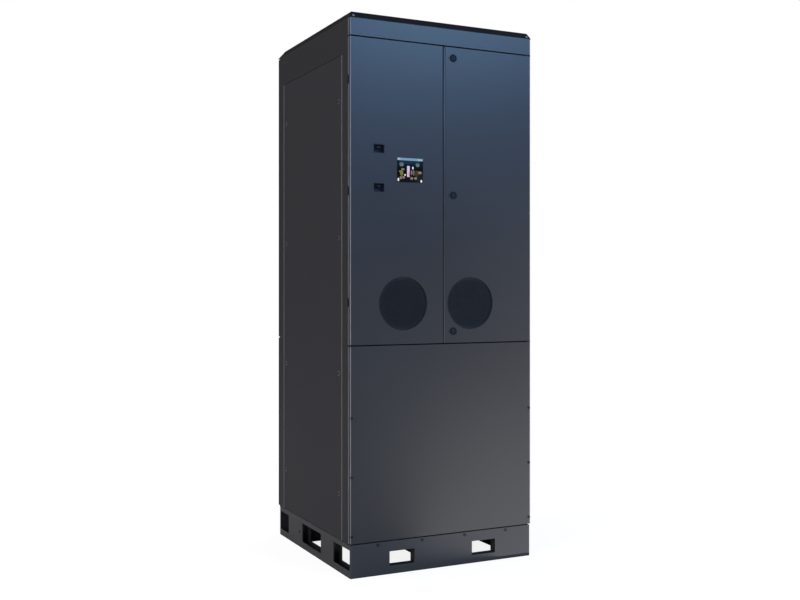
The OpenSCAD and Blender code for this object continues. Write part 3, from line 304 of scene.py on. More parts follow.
# %% Finishes of the plant and the devices
metal("stainless", (0.56, 0.56, 0.55), 0.28, 0.04, 1.0, (0.7, 0.7, 0.7))
metal("shaft_steel", (0.5, 0.5, 0.5), 0.22, 0.02, 1.0, (0.6, 0.6, 0.6))
painted("exchanger_paint", (0.05, 0.16, 0.32), 0.3, SMOOTH, (0.2, 0.3, 0.4))
painted("pump_paint", (0.03, 0.11, 0.25), 0.35, SMOOTH, (0.12, 0.2, 0.3))
painted("facility_paint", (0.05, 0.20, 0.11), 0.34, SMOOTH, (0.2, 0.34, 0.26))
painted("technology_paint", (0.33, 0.05, 0.03), 0.34, SMOOTH, (0.45, 0.2, 0.16))
painted("valve_iron", (0.10, 0.10, 0.11), 0.5, COARSE, peel=ROUGH_PEEL)
painted("vessel_paint", (0.27, 0.03, 0.02), 0.3, SMOOTH, (0.4, 0.15, 0.12))
painted("lever_paint", (0.45, 0.02, 0.02), 0.4, SMOOTH, (0.55, 0.2, 0.18))
painted("panel_paint", (0.62, 0.61, 0.56), 0.4, FINE, (0.7, 0.7, 0.68))
painted("device_pale", (0.58, 0.58, 0.56), 0.42, SMOOTH, (0.66, 0.66, 0.64))
painted("device_grey", (0.24, 0.25, 0.26), 0.48, COARSE, (0.3, 0.3, 0.3))
painted("device_black", (0.020, 0.021, 0.023), 0.42, COARSE)
painted("terminal_green", (0.06, 0.22, 0.08), 0.45, SMOOTH, (0.1, 0.3, 0.12))
painted("device_red", (0.45, 0.02, 0.015), 0.35, SMOOTH, (0.55, 0.1, 0.08))
painted("device_yellow", (0.62, 0.40, 0.02), 0.4, SMOOTH, (0.7, 0.5, 0.1))


# %% Lit finishes
def lit(slot, glow):
    """A dark glossy finish that glows, in one colour or in those of the mesh attribute tint."""
    painted(slot, (0.003, 0.003, 0.004), 0.3, SMOOTH, specular=0.1, peel=GLASS_PEEL,
            edge_amount=0.0)
    tree = finishes[slot].node_tree
    if glow == "tint":
        glow = add_node(tree, "Attribute", attribute_name=glow).outputs["Color"]
    feed(tree, tree.nodes["Principled BSDF"], {"Emission Color": glow, "Emission Strength": 1.0})


lit("lamp_green", (0.05, 0.7, 0.12, 1))
lit("lit_picture", "tint")
print("finishes", len(finishes))

# %% [markdown]
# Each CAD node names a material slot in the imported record, so the finishes are handed out by slot.

# %% Dress the CAD nodes
for part in frame["record"]["subparts"]:
    node_object = frame["nodes"][part["node"]]
    node_object.data.materials.clear()
    node_object.data.materials.append(finishes[part["material_slot"]])

# %% [markdown]
# ## Floor
# The floor is a wide pale disc. It fades out before the horizon, so no line shows behind the
# cabinet. For the camera alone it adds a little light of its own, which brings it to the white of
# the background while the shadow under the cabinet stays.

# %% Floor
FLOOR_RADIUS, FADE_START, FADE_END = 14.0, 5.0, 11.2
FLOOR_TONE, SEEN_TONE, SEEN_GLOW = (0.86, 0.86, 0.86, 1), (0.26, 0.26, 0.26, 1), 0.87
floor_mesh = bmesh.new()
bmesh.ops.create_circle(floor_mesh, cap_ends=True, segments=96, radius=FLOOR_RADIUS)
floor_data = bpy.data.meshes.new("floor")
floor_mesh.to_mesh(floor_data)
floor_mesh.free()
floor = new_object("floor", floor_data)
floor_paint = bpy.data.materials.new("pale floor")
floor_paint.use_nodes = True
tree = floor_paint.node_tree
tree.nodes.remove(tree.nodes["Principled BSDF"])
seen = add_node(tree, "LightPath").outputs["Is Camera Ray"]
diffuse = add_node(tree, "BsdfDiffuse", {"Color": mix_colour(tree, seen, FLOOR_TONE, SEEN_TONE)})
glow = add_node(tree, "Emission", {"Strength": maths(tree, "MULTIPLY", seen, SEEN_GLOW)})
both = add_node(tree, "AddShader", {0: diffuse.outputs[0], 1: glow.outputs[0]}).outputs[0]
clear = add_node(tree, "BsdfTransparent").outputs[0]
away = add_node(tree, "VectorMath", {0: on_piece(tree)}, operation="LENGTH").outputs["Value"]
fade = add_node(tree, "MapRange", {"Value": away, "From Min": FADE_START, "From Max": FADE_END})
blend = add_node(tree, "MixShader", {0: fade.outputs[0], 1: both, 2: clear}).outputs[0]
feed(tree, tree.nodes["Material Output"], {"Surface": blend})
floor_data.materials.append(floor_paint)
print("floor radius", FLOOR_RADIUS)

# %% [markdown]
# ## Background and studio
# The camera sees plain white. Diffuse surfaces get a soft, even light from all round. Gloss and
# clear surfaces see a studio: pale above and below, with a blue sky-like panel in front of the
# doors and a darker band at eye level, which is what gives dark paint its depth.

# %% World
SOFT_LIGHT, BEHIND, WHITE_WALL = (0.50, 0.50, 0.52, 1), (0.22, 0.22, 0.22, 1), (1, 1, 1, 1)
PANEL_START, PANEL_END = 0.1, 0.7  # how far forward a direction points where the panel fades in
DOWN, UP = (0.9, 0.9, 0.9, 1), (1, 1, 1, 1)
STEPS = [  # how high a direction points, from 0 straight down to 1 straight up, and its colour
    (0.45, (0.5, 0.5, 0.5, 1)), (0.50, (0.20, 0.20, 0.21, 1)), (0.57, (0.20, 0.24, 0.33, 1)),
    (0.655, (0.54, 1.22, 3.2, 1)), (0.78, (0.46, 1.02, 2.8, 1)),
]
world = bpy.data.worlds.new("studio")
bpy.context.scene.world = world
world.use_nodes = True
tree = world.node_tree
tree.nodes.clear()
rays = add_node(tree, "LightPath").outputs
look = add_node(tree, "SeparateXYZ", {0: add_node(tree, "TexCoord").outputs["Generated"]}).outputs
height = maths(tree, "ADD", maths(tree, "MULTIPLY", look["Z"], 0.5), 0.5)
ramp = add_node(tree, "ValToRGB", {0: height})
stops = ramp.color_ramp.elements
stops[0].color, stops[1].color = DOWN, UP
for position, colour in STEPS:
    stops.new(position).color = colour
forward = add_node(tree, "MapRange", {"Value": maths(tree, "MULTIPLY", look["Y"], -1.0),
                                      "From Min": PANEL_START, "From Max": PANEL_END},
                   interpolation_type="SMOOTHSTEP").outputs[0]
studio = mix_colour(tree, forward, BEHIND, ramp.outputs[0])
clear_rays = maths(tree, "MAXIMUM", rays["Is Glossy Ray"], rays["Is Transmission Ray"])
lit_by = mix_colour(tree, clear_rays, SOFT_LIGHT, studio)
background = add_node(tree, "Background", {
    "Color": mix_colour(tree, rays["Is Camera Ray"], lit_by, WHITE_WALL)})
add_node(tree, "OutputWorld", {"Surface": background.outputs[0]})
print("world nodes", len(tree.nodes))

# %% [markdown]
# ## Lamps
# Soft lamps do what a product studio does: one high in front on the right gives the doors their
# cool sheen, a weak strip and a bright card on the floor light the lower covers, a tall narrow one
# draws the front corner, and a broad one opens up the shaded side.


# %% Lamps
def soft_lamp(name, place, target, size, power, colour):
    lamp = bpy.data.lights.new(name, "AREA")
    lamp.shape = "RECTANGLE"
    lamp.size, lamp.size_y = size
    lamp.energy = power
    lamp.color = colour
    lamp_object = new_object(name, lamp)
    lamp_object.location = place
    aim = Vector(target) - Vector(place)
    lamp_object.rotation_euler = aim.to_track_quat("-Z", "Y").to_euler()
    lamp_object.visible_camera = False
    print(name, power, "W")
    return lamp_object


MIDDLE, COOL, WARM = (0, 0, 1.05), (0.36, 0.68, 1.0), (1.0, 0.98, 0.96)
CARD_PLACE, CARD_TURN = (2.18, -2.20, 0.012), math.radians(28)
soft_lamp("front lamp", (2.6, -5.2, 4.2), MIDDLE, (2.4, 1.6), 100, COOL)
soft_lamp("strip lamp", (3.4, -4.2, 1.0), (0.3, -0.4, 1.0), (1.2, 1.9), 6, WARM)
soft_lamp("corner lamp", (-4.2, -2.6, 1.3), MIDDLE, (0.35, 2.6), 60, (1.0, 0.98, 0.98))
soft_lamp("side lamp", (-5.0, 1.5, 3.2), MIDDLE, (2.4, 2.4), 38, (1.0, 0.99, 0.98))
card = soft_lamp("floor card", CARD_PLACE, MIDDLE, (2.4, 5.0), 60, WARM)
card.rotation_euler = (math.pi, 0, CARD_TURN)

# %% [markdown]
# ## Helpers for modelled pieces
# A piece is built in a bmesh from the ready-made shapes and operators, then turned into an object
# at the origin that rides on its CAD body. Its normals are made to point outwards, and its faces
# are smooth up to a given angle.


# %% Piece helpers
def between(low, high):
    """The matrix that stretches a unit cube between two corners."""
    low, high = Vector(low), Vector(high)
    return Matrix.LocRotScale((low + high) / 2, None, high - low)


def round_edges(bm, edges, offset, segments):
    bmesh.ops.bevel(bm, geom=edges, offset=offset, offset_type="OFFSET", segments=segments,
                    profile=0.5, affect="EDGES", material=-1)


def rounded_box(bm, low, high, bevel=0.0, segments=2):
    """A box between two corners, with rounded edges where bevel is above zero."""
    made = bmesh.ops.create_cube(bm, size=1.0, matrix=between(low, high))
    if bevel > 0:
        edges = list({e for v in made["verts"] for e in v.link_edges})
        round_edges(bm, edges, bevel, segments)


def turned(bm, profile, centre, steps=48, along=(0, 1, 0)):
    """A closed turned shape: profile is a list of (radius, distance along the axis)."""
    axis = Vector(along).normalized()
    side = axis.orthogonal().normalized()
    centre = Vector(centre)
    before = set(bm.verts)
    verts = [bm.verts.new(centre + side * r + axis * d) for r, d in profile]
    edges = [bm.edges.new(pair) for pair in zip(verts, verts[1:])]
    if min(profile[0][0], profile[-1][0]) > 0:
        edges.append(bm.edges.new((verts[-1], verts[0])))
    bmesh.ops.spin(bm, geom=verts + edges, cent=centre, axis=axis, dvec=(0, 0, 0),
                   angle=math.tau, steps=steps, use_merge=True, use_duplicate=False)
    bmesh.ops.remove_doubles(bm, verts=[v for v in bm.verts if v not in before], dist=1e-6)


def points(made):
    """The vertices among what an operator made."""
    return [g for g in made if isinstance(g, bmesh.types.BMVert)]


def everything(bm):
    return list(bm.verts) + list(bm.edges) + list(bm.faces)


def copy_to(bm, seed, place):
    copy = bmesh.ops.duplicate(bm, geom=seed)["geom"]
    bmesh.ops.translate(bm, vec=place, verts=points(copy))


def thicken(bm, wall):
    """Gives a sheet its wall, once its faces all point the same way."""
    bmesh.ops.recalc_face_normals(bm, faces=bm.faces)
    bmesh.ops.solidify(bm, geom=bm.faces, thickness=wall)


def make_piece(bm, name, body, slot, replaced=(), smooth_angle=35, look=None):
    """Turns a bmesh into a finished piece that rides on a CAD body."""
    bmesh.ops.recalc_face_normals(bm, faces=bm.faces)
    data = bpy.data.meshes.new(name)
    bm.to_mesh(data)
    bm.free()
    data.polygons.foreach_set("use_smooth", [True] * len(data.polygons))
    data.set_sharp_from_angle(angle=math.radians(smooth_angle))
    data.materials.append(finishes[look or slot])
    piece = new_object(name, data)
    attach(piece, body)
    if replaced:
        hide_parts(*replaced)
    print(name, "faces", len(data.polygons))

# %% [markdown]
# ## Fan grilles
# Each fan breathes through a round perforated sheet that sits a few millimetres behind the door
# skin. One cell of the sheet is a hexagon with a round hole: two loops of edges, bridged. Copies
# of the cell fill the disc, a fill joins them to the round rim, and Solidify gives the thickness.

# %% Perforated sheet
HOLE_PITCH, HOLE_RADIUS, SHEET = 0.010, 0.0036, 0.0012
GRILLE_RIM, GRILLE_WALL, LIP = 0.0040, 0.0020, 0.0015
ROW_PITCH = HOLE_PITCH * math.sqrt(3) / 2


def perforated_disc(bm, centre, radius):
    """A flat disc in the XZ plane with hexagonally spaced holes."""
    lay_flat = Matrix.Rotation(math.pi / 2, 4, "X")
    bmesh.ops.create_circle(bm, segments=12, radius=HOLE_RADIUS, matrix=lay_flat)
    cell = bmesh.ops.create_circle(bm, segments=6, radius=HOLE_PITCH / math.sqrt(3),
                                   matrix=lay_flat @ Matrix.Rotation(math.pi / 6, 4, "Z"))["verts"]
    cell_edges = list({e for v in cell for e in v.link_edges})
    bmesh.ops.subdivide_edges(bm, edges=cell_edges, cuts=1)
    bmesh.ops.bridge_loops(bm, edges=bm.edges)
    seed = everything(bm)
    rows = int(radius / HOLE_PITCH) + 1
    places = [Vector(((column + row % 2 / 2) * HOLE_PITCH, 0, row * ROW_PITCH))
              for row in range(-rows - 2, rows + 3) for column in range(-rows - 1, rows + 2)]
    places = [p for p in places if p.length < radius - HOLE_PITCH * 0.75]
    for place in places:
        copy_to(bm, seed, place)
    bmesh.ops.delete(bm, geom=points(seed), context="VERTS")
    bmesh.ops.remove_doubles(bm, verts=bm.verts, dist=1e-5)
    clear_of_holes = HOLE_RADIUS * 1.2
    outline = [e for e in bm.edges if e.is_boundary
               and all(min((v.co - p).length for p in places) > clear_of_holes for v in e.verts)]
    rim = bmesh.ops.create_circle(bm, segments=96, radius=radius, matrix=lay_flat)["verts"]
    rim_edges = list({e for v in rim for e in v.link_edges})
    bmesh.ops.triangle_fill(bm, edges=outline + rim_edges, use_beauty=True)
    bmesh.ops.translate(bm, vec=centre, verts=bm.verts)
    print("grille holes", len(places))


for side in ("left", "right"):
    low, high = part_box(f"{side}_fan_grille")
    centre = (low + high) / 2
    outer, depth = (high.x - low.x) / 2, high.y - low.y
    opening = outer - GRILLE_RIM
    wall = opening - GRILLE_WALL
    bm = bmesh.new()
    perforated_disc(bm, Vector((centre.x, high.y - SHEET, centre.z)), opening - 0.0004)
    thicken(bm, SHEET)
    turned(bm, [(outer, 0), (outer, LIP), (opening, LIP), (opening, depth), (wall, depth),
                (wall, SHEET), (opening - SHEET, 0)], (centre.x, low.y, centre.z), 96)
    make_piece(bm, f"{side}_fan_screen", f"{side}_door", "grille_black", [f"{side}_fan_grille"])

# %% [markdown]
# ## Fan rotors
# A rotor is one moulding: a hub with a rounded nose and seven twisted blades. One blade is a small
# grid whose points are carried round the axle, more at the root than at the tip, which twists it.
# Solidify gives it a wall, and a spin with duplicates sets its copies round the hub.

# %% Rotors
BLADES, HUB_RADIUS, AXLE_HOLE, BLADE_WALL, TIP_GAP = 7, 0.035, 0.0042, 0.0016, 0.0012
ROOT_CHORD, CHORD_LOSS, SWEEP, CAMBER = 58, 14, math.radians(16), 0.0028
ROOT_DEPTH, DEPTH_MARGIN = HUB_RADIUS - 0.002, 0.005

for side in ("left", "right"):
    low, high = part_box(f"{side}_fan_rotor")
    centre = (low + high) / 2
    tip = (high.x - low.x) / 2 - TIP_GAP
    depth = high.y - low.y
    bm = bmesh.new()
    for vert in bmesh.ops.create_grid(bm, x_segments=7, y_segments=6, size=0.5)["verts"]:
        along, across = vert.co.x + 0.5, vert.co.y
        radius = ROOT_DEPTH + along * (tip - ROOT_DEPTH)
        angle = math.radians(ROOT_CHORD - CHORD_LOSS * along) * across + SWEEP * along ** 2
        lift = (across * (depth - DEPTH_MARGIN) * (1 - 0.25 * along)
                + CAMBER * (1 - 4 * across ** 2))
        vert.co = (radius * math.sin(angle), lift, radius * math.cos(angle))
    thicken(bm, BLADE_WALL)
    bmesh.ops.spin(bm, geom=everything(bm), cent=(0, 0, 0), axis=(0, 1, 0), dvec=(0, 0, 0),
                   angle=math.tau * (BLADES - 1) / BLADES, steps=BLADES - 1, use_duplicate=True)
    bmesh.ops.translate(bm, vec=centre, verts=bm.verts)
    turned(bm, [(AXLE_HOLE, 0.0006), (0.024, 0), (0.030, 0.0012), (0.0335, 0.004),
                (HUB_RADIUS, 0.008), (HUB_RADIUS, depth), (AXLE_HOLE, depth)],
           (centre.x, low.y, centre.z), 64)
    make_piece(bm, f"{side}_rotor_moulding", f"{side}_fan", "rotor_plastic", [f"{side}_fan_rotor"])

# %% [markdown]
# ## Display
# The display is a touch panel in a thin moulded frame, let into the left door, with its electronics
# case behind the skin. The frame starts as one face: an inset leaves a ring, the ring is extruded
# and its edges are rounded. The picture on the glass is a set of thin tiles, each with its own
# colour in a colour attribute, so that one glowing finish serves them all.


# %% Frame plate
def frame_plate(bm, low, high, wall, corner, edge_round):
    """A flat rectangular ring in the XZ plane with rounded corners and rounded front edges."""
    low, high = Vector(low), Vector(high)
    size = high - low
    place = Matrix.LocRotScale(Vector(((low.x + high.x) / 2, high.y, (low.z + high.z) / 2)),
                               Matrix.Rotation(math.pi / 2, 3, "X"), Vector((size.x, size.z, 1)))
    verts = bmesh.ops.create_grid(bm, x_segments=1, y_segments=1, size=0.5, matrix=place)["verts"]
    middle = verts[0].link_faces[0]
    ring = bmesh.ops.inset_region(bm, faces=[middle], thickness=wall, use_even_offset=True)["faces"]
    bmesh.ops.delete(bm, geom=[middle], context="FACES")
    raised = points(bmesh.ops.extrude_face_region(bm, geom=ring)["geom"])
    bmesh.ops.translate(bm, vec=(0, low.y - high.y, 0), verts=raised)
    posts = {e for v in raised for e in v.link_edges
             if abs(e.verts[0].co.y - e.verts[1].co.y) > 1e-6}
    outer = [e for e in posts if min(abs(e.verts[0].co.x - x) for x in (low.x, high.x)) < 1e-6]
    round_edges(bm, outer, corner, 5)
    front = [e for e in bm.edges if all(abs(v.co.y - low.y) < 1e-7 for v in e.verts)
             and any(abs(f.normal.y) < 0.5 for f in e.link_faces)]
    round_edges(bm, front, edge_round, 2)


# %% Display frame and glass
BEZEL_WALL, BEZEL_CORNER, BEZEL_ROUND, GLASS_OVERLAP = 0.0022, 0.003, 0.0006, 0.0004
CASE_INSET, CASE_ROUND, CASE_START = 0.0045, 0.003, 0.0012
RIBS, RIB_PITCH, RIB_WIDTH, RIB_BOTTOM, RIB_INSET = 9, 0.008, 0.003, 0.016, 0.014
SKIN_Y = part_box("left_door")[0].y
low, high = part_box("display_housing")
bm = bmesh.new()
frame_plate(bm, low, (high.x, SKIN_Y, high.z), BEZEL_WALL, BEZEL_CORNER, BEZEL_ROUND)
rounded_box(bm, (low.x + CASE_INSET, SKIN_Y + CASE_START, low.z + CASE_INSET),
            (high.x - CASE_INSET, high.y, high.z - CASE_INSET), CASE_ROUND, 3)
for index in range(RIBS):
    rib_z = low.z + RIB_BOTTOM + index * RIB_PITCH
    rounded_box(bm, (low.x + RIB_INSET, high.y - 0.001, rib_z),
                (high.x - RIB_INSET, high.y, rib_z + RIB_WIDTH), 0.0004, 1)
make_piece(bm, "display_frame", "left_door", "bezel_plastic", ["display_housing"])
inset = BEZEL_WALL - GLASS_OVERLAP
glass_low = low + Vector((inset, 0.0005, inset))
glass_high = Vector((high.x - inset, SKIN_Y + 0.0010, high.z - inset))
bm = bmesh.new()
rounded_box(bm, glass_low, glass_high, 0.0003)
make_piece(bm, "display_glass", "left_door", "screen", ["display_screen"])

# %% Display picture
TILE_LIFT, TILE_WALL = 0.00012, 0.00008


def tile(bm, layer, colour, across, down, width, height, sides=4):
    """A flat lit tile on the glass; across, down, width and height are shares of the picture."""
    size = glass_high - glass_low
    centre = Vector((glass_low.x + across * size.x, glass_low.y - TILE_LIFT,
                     glass_high.z - down * size.z))
    place = Matrix.LocRotScale(centre, Matrix.Rotation(math.pi / 2, 3, "X"),
                               Vector((width * size.x, height * size.z, 1)))
    reach = 0.5
    if sides == 4:
        place = place @ Matrix.Rotation(math.pi / 4, 4, "Z")
        reach /= math.cos(math.pi / 4)
    made = bmesh.ops.create_circle(bm, cap_ends=True, segments=sides, radius=reach, matrix=place)
    for face in {f for v in made["verts"] for f in v.link_faces}:
        if face.normal.y > 0:
            face.normal_flip()
        for loop in face.loops:
            loop[layer] = (*colour, 1)


SKY, DEEP, PALE = (0.18, 0.31, 0.46), (0.004, 0.022, 0.045), (0.44, 0.52, 0.64)
GAUGE, LEAF, SAND = (0.10, 0.16, 0.15), (0.16, 0.18, 0.03), (0.22, 0.18, 0.14)
LILAC, ROSE, BROWN = (0.62, 0.55, 0.78), (0.62, 0.06, 0.14), (0.06, 0.025, 0.004)
WHITE = (0.8, 0.86, 0.84)
picture = [  # colour, across, down, width, height, sides
    (SKY, 0.50, 0.055, 0.99, 0.10), (PALE, 0.07, 0.05, 0.10, 0.075),
    (PALE, 0.87, 0.06, 0.16, 0.06), (DEEP, 0.47, 0.165, 0.80, 0.11),
    (GAUGE, 0.17, 0.27, 0.17, 0.18, 16), (GAUGE, 0.79, 0.27, 0.15, 0.17, 16),
    (LEAF, 0.17, 0.62, 0.13, 0.24, 12), (LEAF, 0.11, 0.56, 0.09, 0.08, 8),
    (SAND, 0.22, 0.47, 0.14, 0.08, 10), (SAND, 0.14, 0.82, 0.09, 0.14, 10),
    (SAND, 0.245, 0.80, 0.11, 0.12, 10), (WHITE, 0.305, 0.70, 0.07, 0.065, 10),
    (LILAC, 0.43, 0.55, 0.10, 0.45), (ROSE, 0.465, 0.66, 0.045, 0.20),
    (WHITE, 0.605, 0.40, 0.06, 0.11, 10), (SAND, 0.555, 0.59, 0.06, 0.20, 10),
    (GAUGE, 0.635, 0.59, 0.06, 0.26, 10), (BROWN, 0.75, 0.62, 0.16, 0.26, 10),
    (SAND, 0.865, 0.585, 0.18, 0.12, 14), (SAND, 0.56, 0.83, 0.12, 0.11, 10),
    (SAND, 0.71, 0.82, 0.12, 0.11, 10), (WHITE, 0.045, 0.90, 0.07, 0.15, 6),
    (WHITE, 0.935, 0.93, 0.075, 0.12, 6),
]
bm = bmesh.new()
tint = bm.loops.layers.float_color.new("tint")
for entry in picture:
    tile(bm, tint, *entry)
bmesh.ops.solidify(bm, geom=bm.faces, thickness=TILE_WALL)
make_piece(bm, "display_picture", "left_door", "screen", look="lit_picture")

# %% [markdown]
# ## Locks and position pins
# Three quarter-turn locks hold the right door shut. Each has a round die-cast body with a rounded
# rim and a nut behind the skin, so it is turned from its profile. A small domed pin beside each
# lock marks the closed position.

# %% Lock bodies and pins
LOCK_RADIUS, BARREL_RADIUS, CORE_HOLE, PIN_PITCH = 0.015, 0.011, 0.0083, 0.021
low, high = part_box("lock_housings")
core_low, core_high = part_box("middle_lock")
lock_x = (low.x + high.x) / 2
lock_middle = min(max((low.z + high.z) / 2, core_low.z), core_high.z - 0.008)
lock_heights = [low.z + LOCK_RADIUS, lock_middle, high.z - LOCK_RADIUS]
back = SKIN_Y - low.y
profile = [(CORE_HOLE, back + 0.014), (CORE_HOLE, 0.0012), (0.0095, 0.0003), (0.0128, 0),
           (0.0144, 0.0005), (LOCK_RADIUS, 0.0014), (LOCK_RADIUS, back), (BARREL_RADIUS, back),
           (BARREL_RADIUS, back + 0.0015), (LOCK_RADIUS, back + 0.0015),
           (LOCK_RADIUS, back + 0.0045), (BARREL_RADIUS, back + 0.0045),
           (BARREL_RADIUS, back + 0.014)]
locks, pins = bmesh.new(), bmesh.new()
for height in lock_heights:
    turned(locks, profile, (lock_x, low.y, height))
    turned(pins, [(0, -0.0011), (0.0014, -0.0009), (0.0024, -0.0002), (0.0027, 0.0004),
                  (0.0027, 0.0015), (0, 0.0015)], (lock_x - PIN_PITCH, SKIN_Y, height), 24)
make_piece(locks, "lock_bodies", "right_door", "lock_black", ["lock_housings"])
make_piece(pins, "position_pins", "right_door", "screw_black")

# %% [markdown]
# ## Pocket toggles
# In each recessed pocket of the left door a rocker sits on a thin axle. The rocker is a box with
# generous rounding, tipped back round the axle, and the axle is a plain turned rod with small ends.

# %% Toggles
AXLE_RADIUS, AXLE_END, AXLE_BACK, ROCKER_ROUND = 0.002, 0.0016, 0.004, 0.0018
ROCKER_LOW, ROCKER_HIGH = (-0.0078, -0.0118, -0.0028), (0.0078, 0.0026, 0.0028)
TILT_BACK = Matrix.Rotation(math.radians(-25), 3, "X")

for place in ("upper", "lower"):
    low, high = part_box(f"{place}_toggle")
    pivot = Vector(((low.x + high.x) / 2, high.y - AXLE_BACK, (low.z + high.z) / 2))
    bm = bmesh.new()
    rounded_box(bm, ROCKER_LOW, ROCKER_HIGH, ROCKER_ROUND, 4)
    for groove in range(3):
        y = -0.0108 + groove * 0.003
        rounded_box(bm, (-0.006, y, 0.0026), (0.006, y + 0.0012, 0.0034), 0.0003, 1)
    bmesh.ops.rotate(bm, cent=(0, 0, 0), matrix=TILT_BACK, verts=bm.verts)
    half = (high.x - low.x) / 2
    turned(bm, [(0, -half), (AXLE_END, -half), (AXLE_RADIUS, -half + 0.0004),
                (AXLE_RADIUS, half - 0.0004), (AXLE_END, half), (0, half)],
           (0, 0, 0), 20, (1, 0, 0))
    bmesh.ops.translate(bm, vec=pivot, verts=bm.verts)
    make_piece(bm, f"{place}_rocker", f"{place}_switch", "toggle_plastic", [f"{place}_toggle"])

# %% [markdown]
# ## Roof screws and corner pads
# The roof cover is held by a bright pan-head screw at each front end of its sloping edge, so those
# screws are turned about the slope's own normal. Small foam pads close the ends of the seams
# above and below the doors.

# %% Roof screws
SLOPE_RUN, SLOPE_RISE = 0.012, 0.022
SCREW_FROM_END, SCREW_UP_SLOPE, SCREW_BELOW_TOP = 0.017, 0.0038, 0.0150
low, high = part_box("roof_panel")
bm = bmesh.new()
for side in (-1, 1):
    spot = (side * (high.x - SCREW_FROM_END), low.y + SCREW_UP_SLOPE, high.z - SCREW_BELOW_TOP)
    turned(bm, [(0, -0.0022), (0.0030, -0.0021), (0.0046, -0.0012), (0.0050, 0.0004),
                (0.0050, 0.0012), (0, 0.0012)], spot, 24, (0, SLOPE_RISE, -SLOPE_RUN))
make_piece(bm, "roof_screws", "cabinet", "zinc", look="dull_steel")

# %% Corner pads
PAD_INNER, PAD_OUTER, PAD_FRONT, PAD_BACK, PAD_CLEAR = 0.3940, 0.3992, 0.0015, 0.017, 0.0006
door_low, door_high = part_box("left_door")
seams = [(door_high.z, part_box("header_panel")[0].z), (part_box("lower_front_panel")[1].z, door_low.z)]
bm = bmesh.new()
for below, above in seams:
    for near, far in ((-PAD_OUTER, -PAD_INNER), (PAD_INNER, PAD_OUTER)):
        rounded_box(bm, (near, SKIN_Y + PAD_FRONT, below + PAD_CLEAR),
                    (far, SKIN_Y + PAD_BACK, above - PAD_CLEAR), 0.0005)
make_piece(bm, "corner_pads", "cabinet", "seal_rubber")

# %% [markdown]
# ## Folded edges, gaskets, meeting strip and washers
# Where the sheet is folded over at the edge of a door or of the opening for a side cover, the
# fold catches the light as a fine pale line. That line is a painted highlight: each is a thin
# rounded bar in a pale paint, laid along the edge. Beside it a rubber lip closes the gap round the
# cover. A strip of sheet closes most of the gap between the doors, and the side covers' screws
# sit on flat washers.

# %% Folded edges
OUTSIDE = 0.4  # half of the cabinet's width, and of its depth
BEAD, BEAD_PROUD, BEAD_SUNK, COVER_GAP, END_CLEAR = 0.0030, 0.00025, 0.0006, 0.0022, 0.001
FRONT_BEAD, DOOR_BEAD_Y = (0.3947, 0.3968), SKIN_Y + 0.0110
HINGE_HALF, NOTCH_HALF = 0.024, 0.018
low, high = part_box("left_door_hinges")
hinge_heights = [low.z + HINGE_HALF, (low.z + high.z) / 2, high.z - HINGE_HALF]


def upright(bm, side, xs, ys, zs, bevel=0.0002):
    """A thin bar along z; xs are its distances from the middle plane, on the given side."""
    near, far = sorted(side * x for x in xs)
    rounded_box(bm, (near, ys[0], zs[0]), (far, ys[1], zs[1]), bevel)


def side_highlight_bead(bm, side, y, span, notches=()):
    """A pale bead on the outer side face, a painted highlight of the fold, left out where a hinge
    knuckle passes.
    """
    steps = [z + step for z in notches for step in (-NOTCH_HALF, NOTCH_HALF)]
    ends = [span[0], *steps, span[1]]
    for part in zip(ends[::2], ends[1::2]):
        upright(bm, side, (OUTSIDE - BEAD_SUNK, OUTSIDE + BEAD_PROUD), (y, y + BEAD), part)


def front_highlight_beads(bm, name, sides, notches=()):
    """The side and front highlight beads of a piece of the front, as high as the piece is."""
    span = [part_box(name)[0].z + END_CLEAR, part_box(name)[1].z - END_CLEAR]
    for side in sides:
        side_highlight_bead(bm, side, DOOR_BEAD_Y, span, notches)
        upright(bm, side, FRONT_BEAD, (SKIN_Y - BEAD_PROUD, SKIN_Y + BEAD_SUNK), span)
    return bm


low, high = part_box("left_side_panel")
cover_span = (low.z + END_CLEAR, high.z - END_CLEAR)
for side, word in ((-1, "left"), (1, "right")):
    bm = bmesh.new()
    side_highlight_bead(bm, side, low.y - COVER_GAP - BEAD, cover_span)
    side_highlight_bead(bm, side, high.y + COVER_GAP, cover_span)
    # The bars carry a pale paint: a painted highlight along the folds.
    make_piece(bm, f"{word}_cover_folds", "cabinet", "cover_paint", look="fold_highlight_paint")
    bm = front_highlight_beads(bmesh.new(), f"{word}_door", [side], hinge_heights)
    make_piece(bm, f"{word}_door_folds", f"{word}_door", "door_paint", look="fold_highlight_paint")
for name in ("header_panel", "lower_front_panel"):
    bm = front_highlight_beads(bmesh.new(), name, (-1, 1))
    make_piece(bm, f"{name}_folds", "cabinet", "door_paint", look="fold_highlight_paint")

# %% Cover gaskets and side washers
GASKET, GASKET_PROUD, GASKET_SUNK, GASKET_INSET = 0.0022, 0.00012, 0.0004, 0.0002
SCREW_INSET, SCREW_END, SCREW_SHARES = 0.027, 0.172, (0, 0.307, 0.652, 1)
WASHER_RADIUS, WASHER_HOLE, WASHER_WALL = 0.0085, 0.0030, 0.0007
washer = [(WASHER_HOLE, 0), (WASHER_HOLE, -WASHER_WALL), (WASHER_RADIUS - 0.0004, -WASHER_WALL),
          (WASHER_RADIUS, -0.0003), (WASHER_RADIUS, 0)]
first, last = low.z + SCREW_END, high.z - SCREW_END
gaskets, washers = bmesh.new(), bmesh.new()
for side in (-1, 1):
    for y in (low.y + GASKET_INSET, high.y - GASKET_INSET - GASKET):
        upright(gaskets, side, (OUTSIDE - GASKET_SUNK, OUTSIDE + GASKET_PROUD), (y, y + GASKET),
                cover_span, 0.0001)
    for share in SCREW_SHARES:
        height = first + share * (last - first)
        for y in (low.y + SCREW_INSET, high.y - SCREW_INSET):
            turned(washers, washer, (side * OUTSIDE, y, height), 24, (-side, 0, 0))
make_piece(gaskets, "cover_gaskets", "cabinet", "cover_paint", look="seal_rubber")

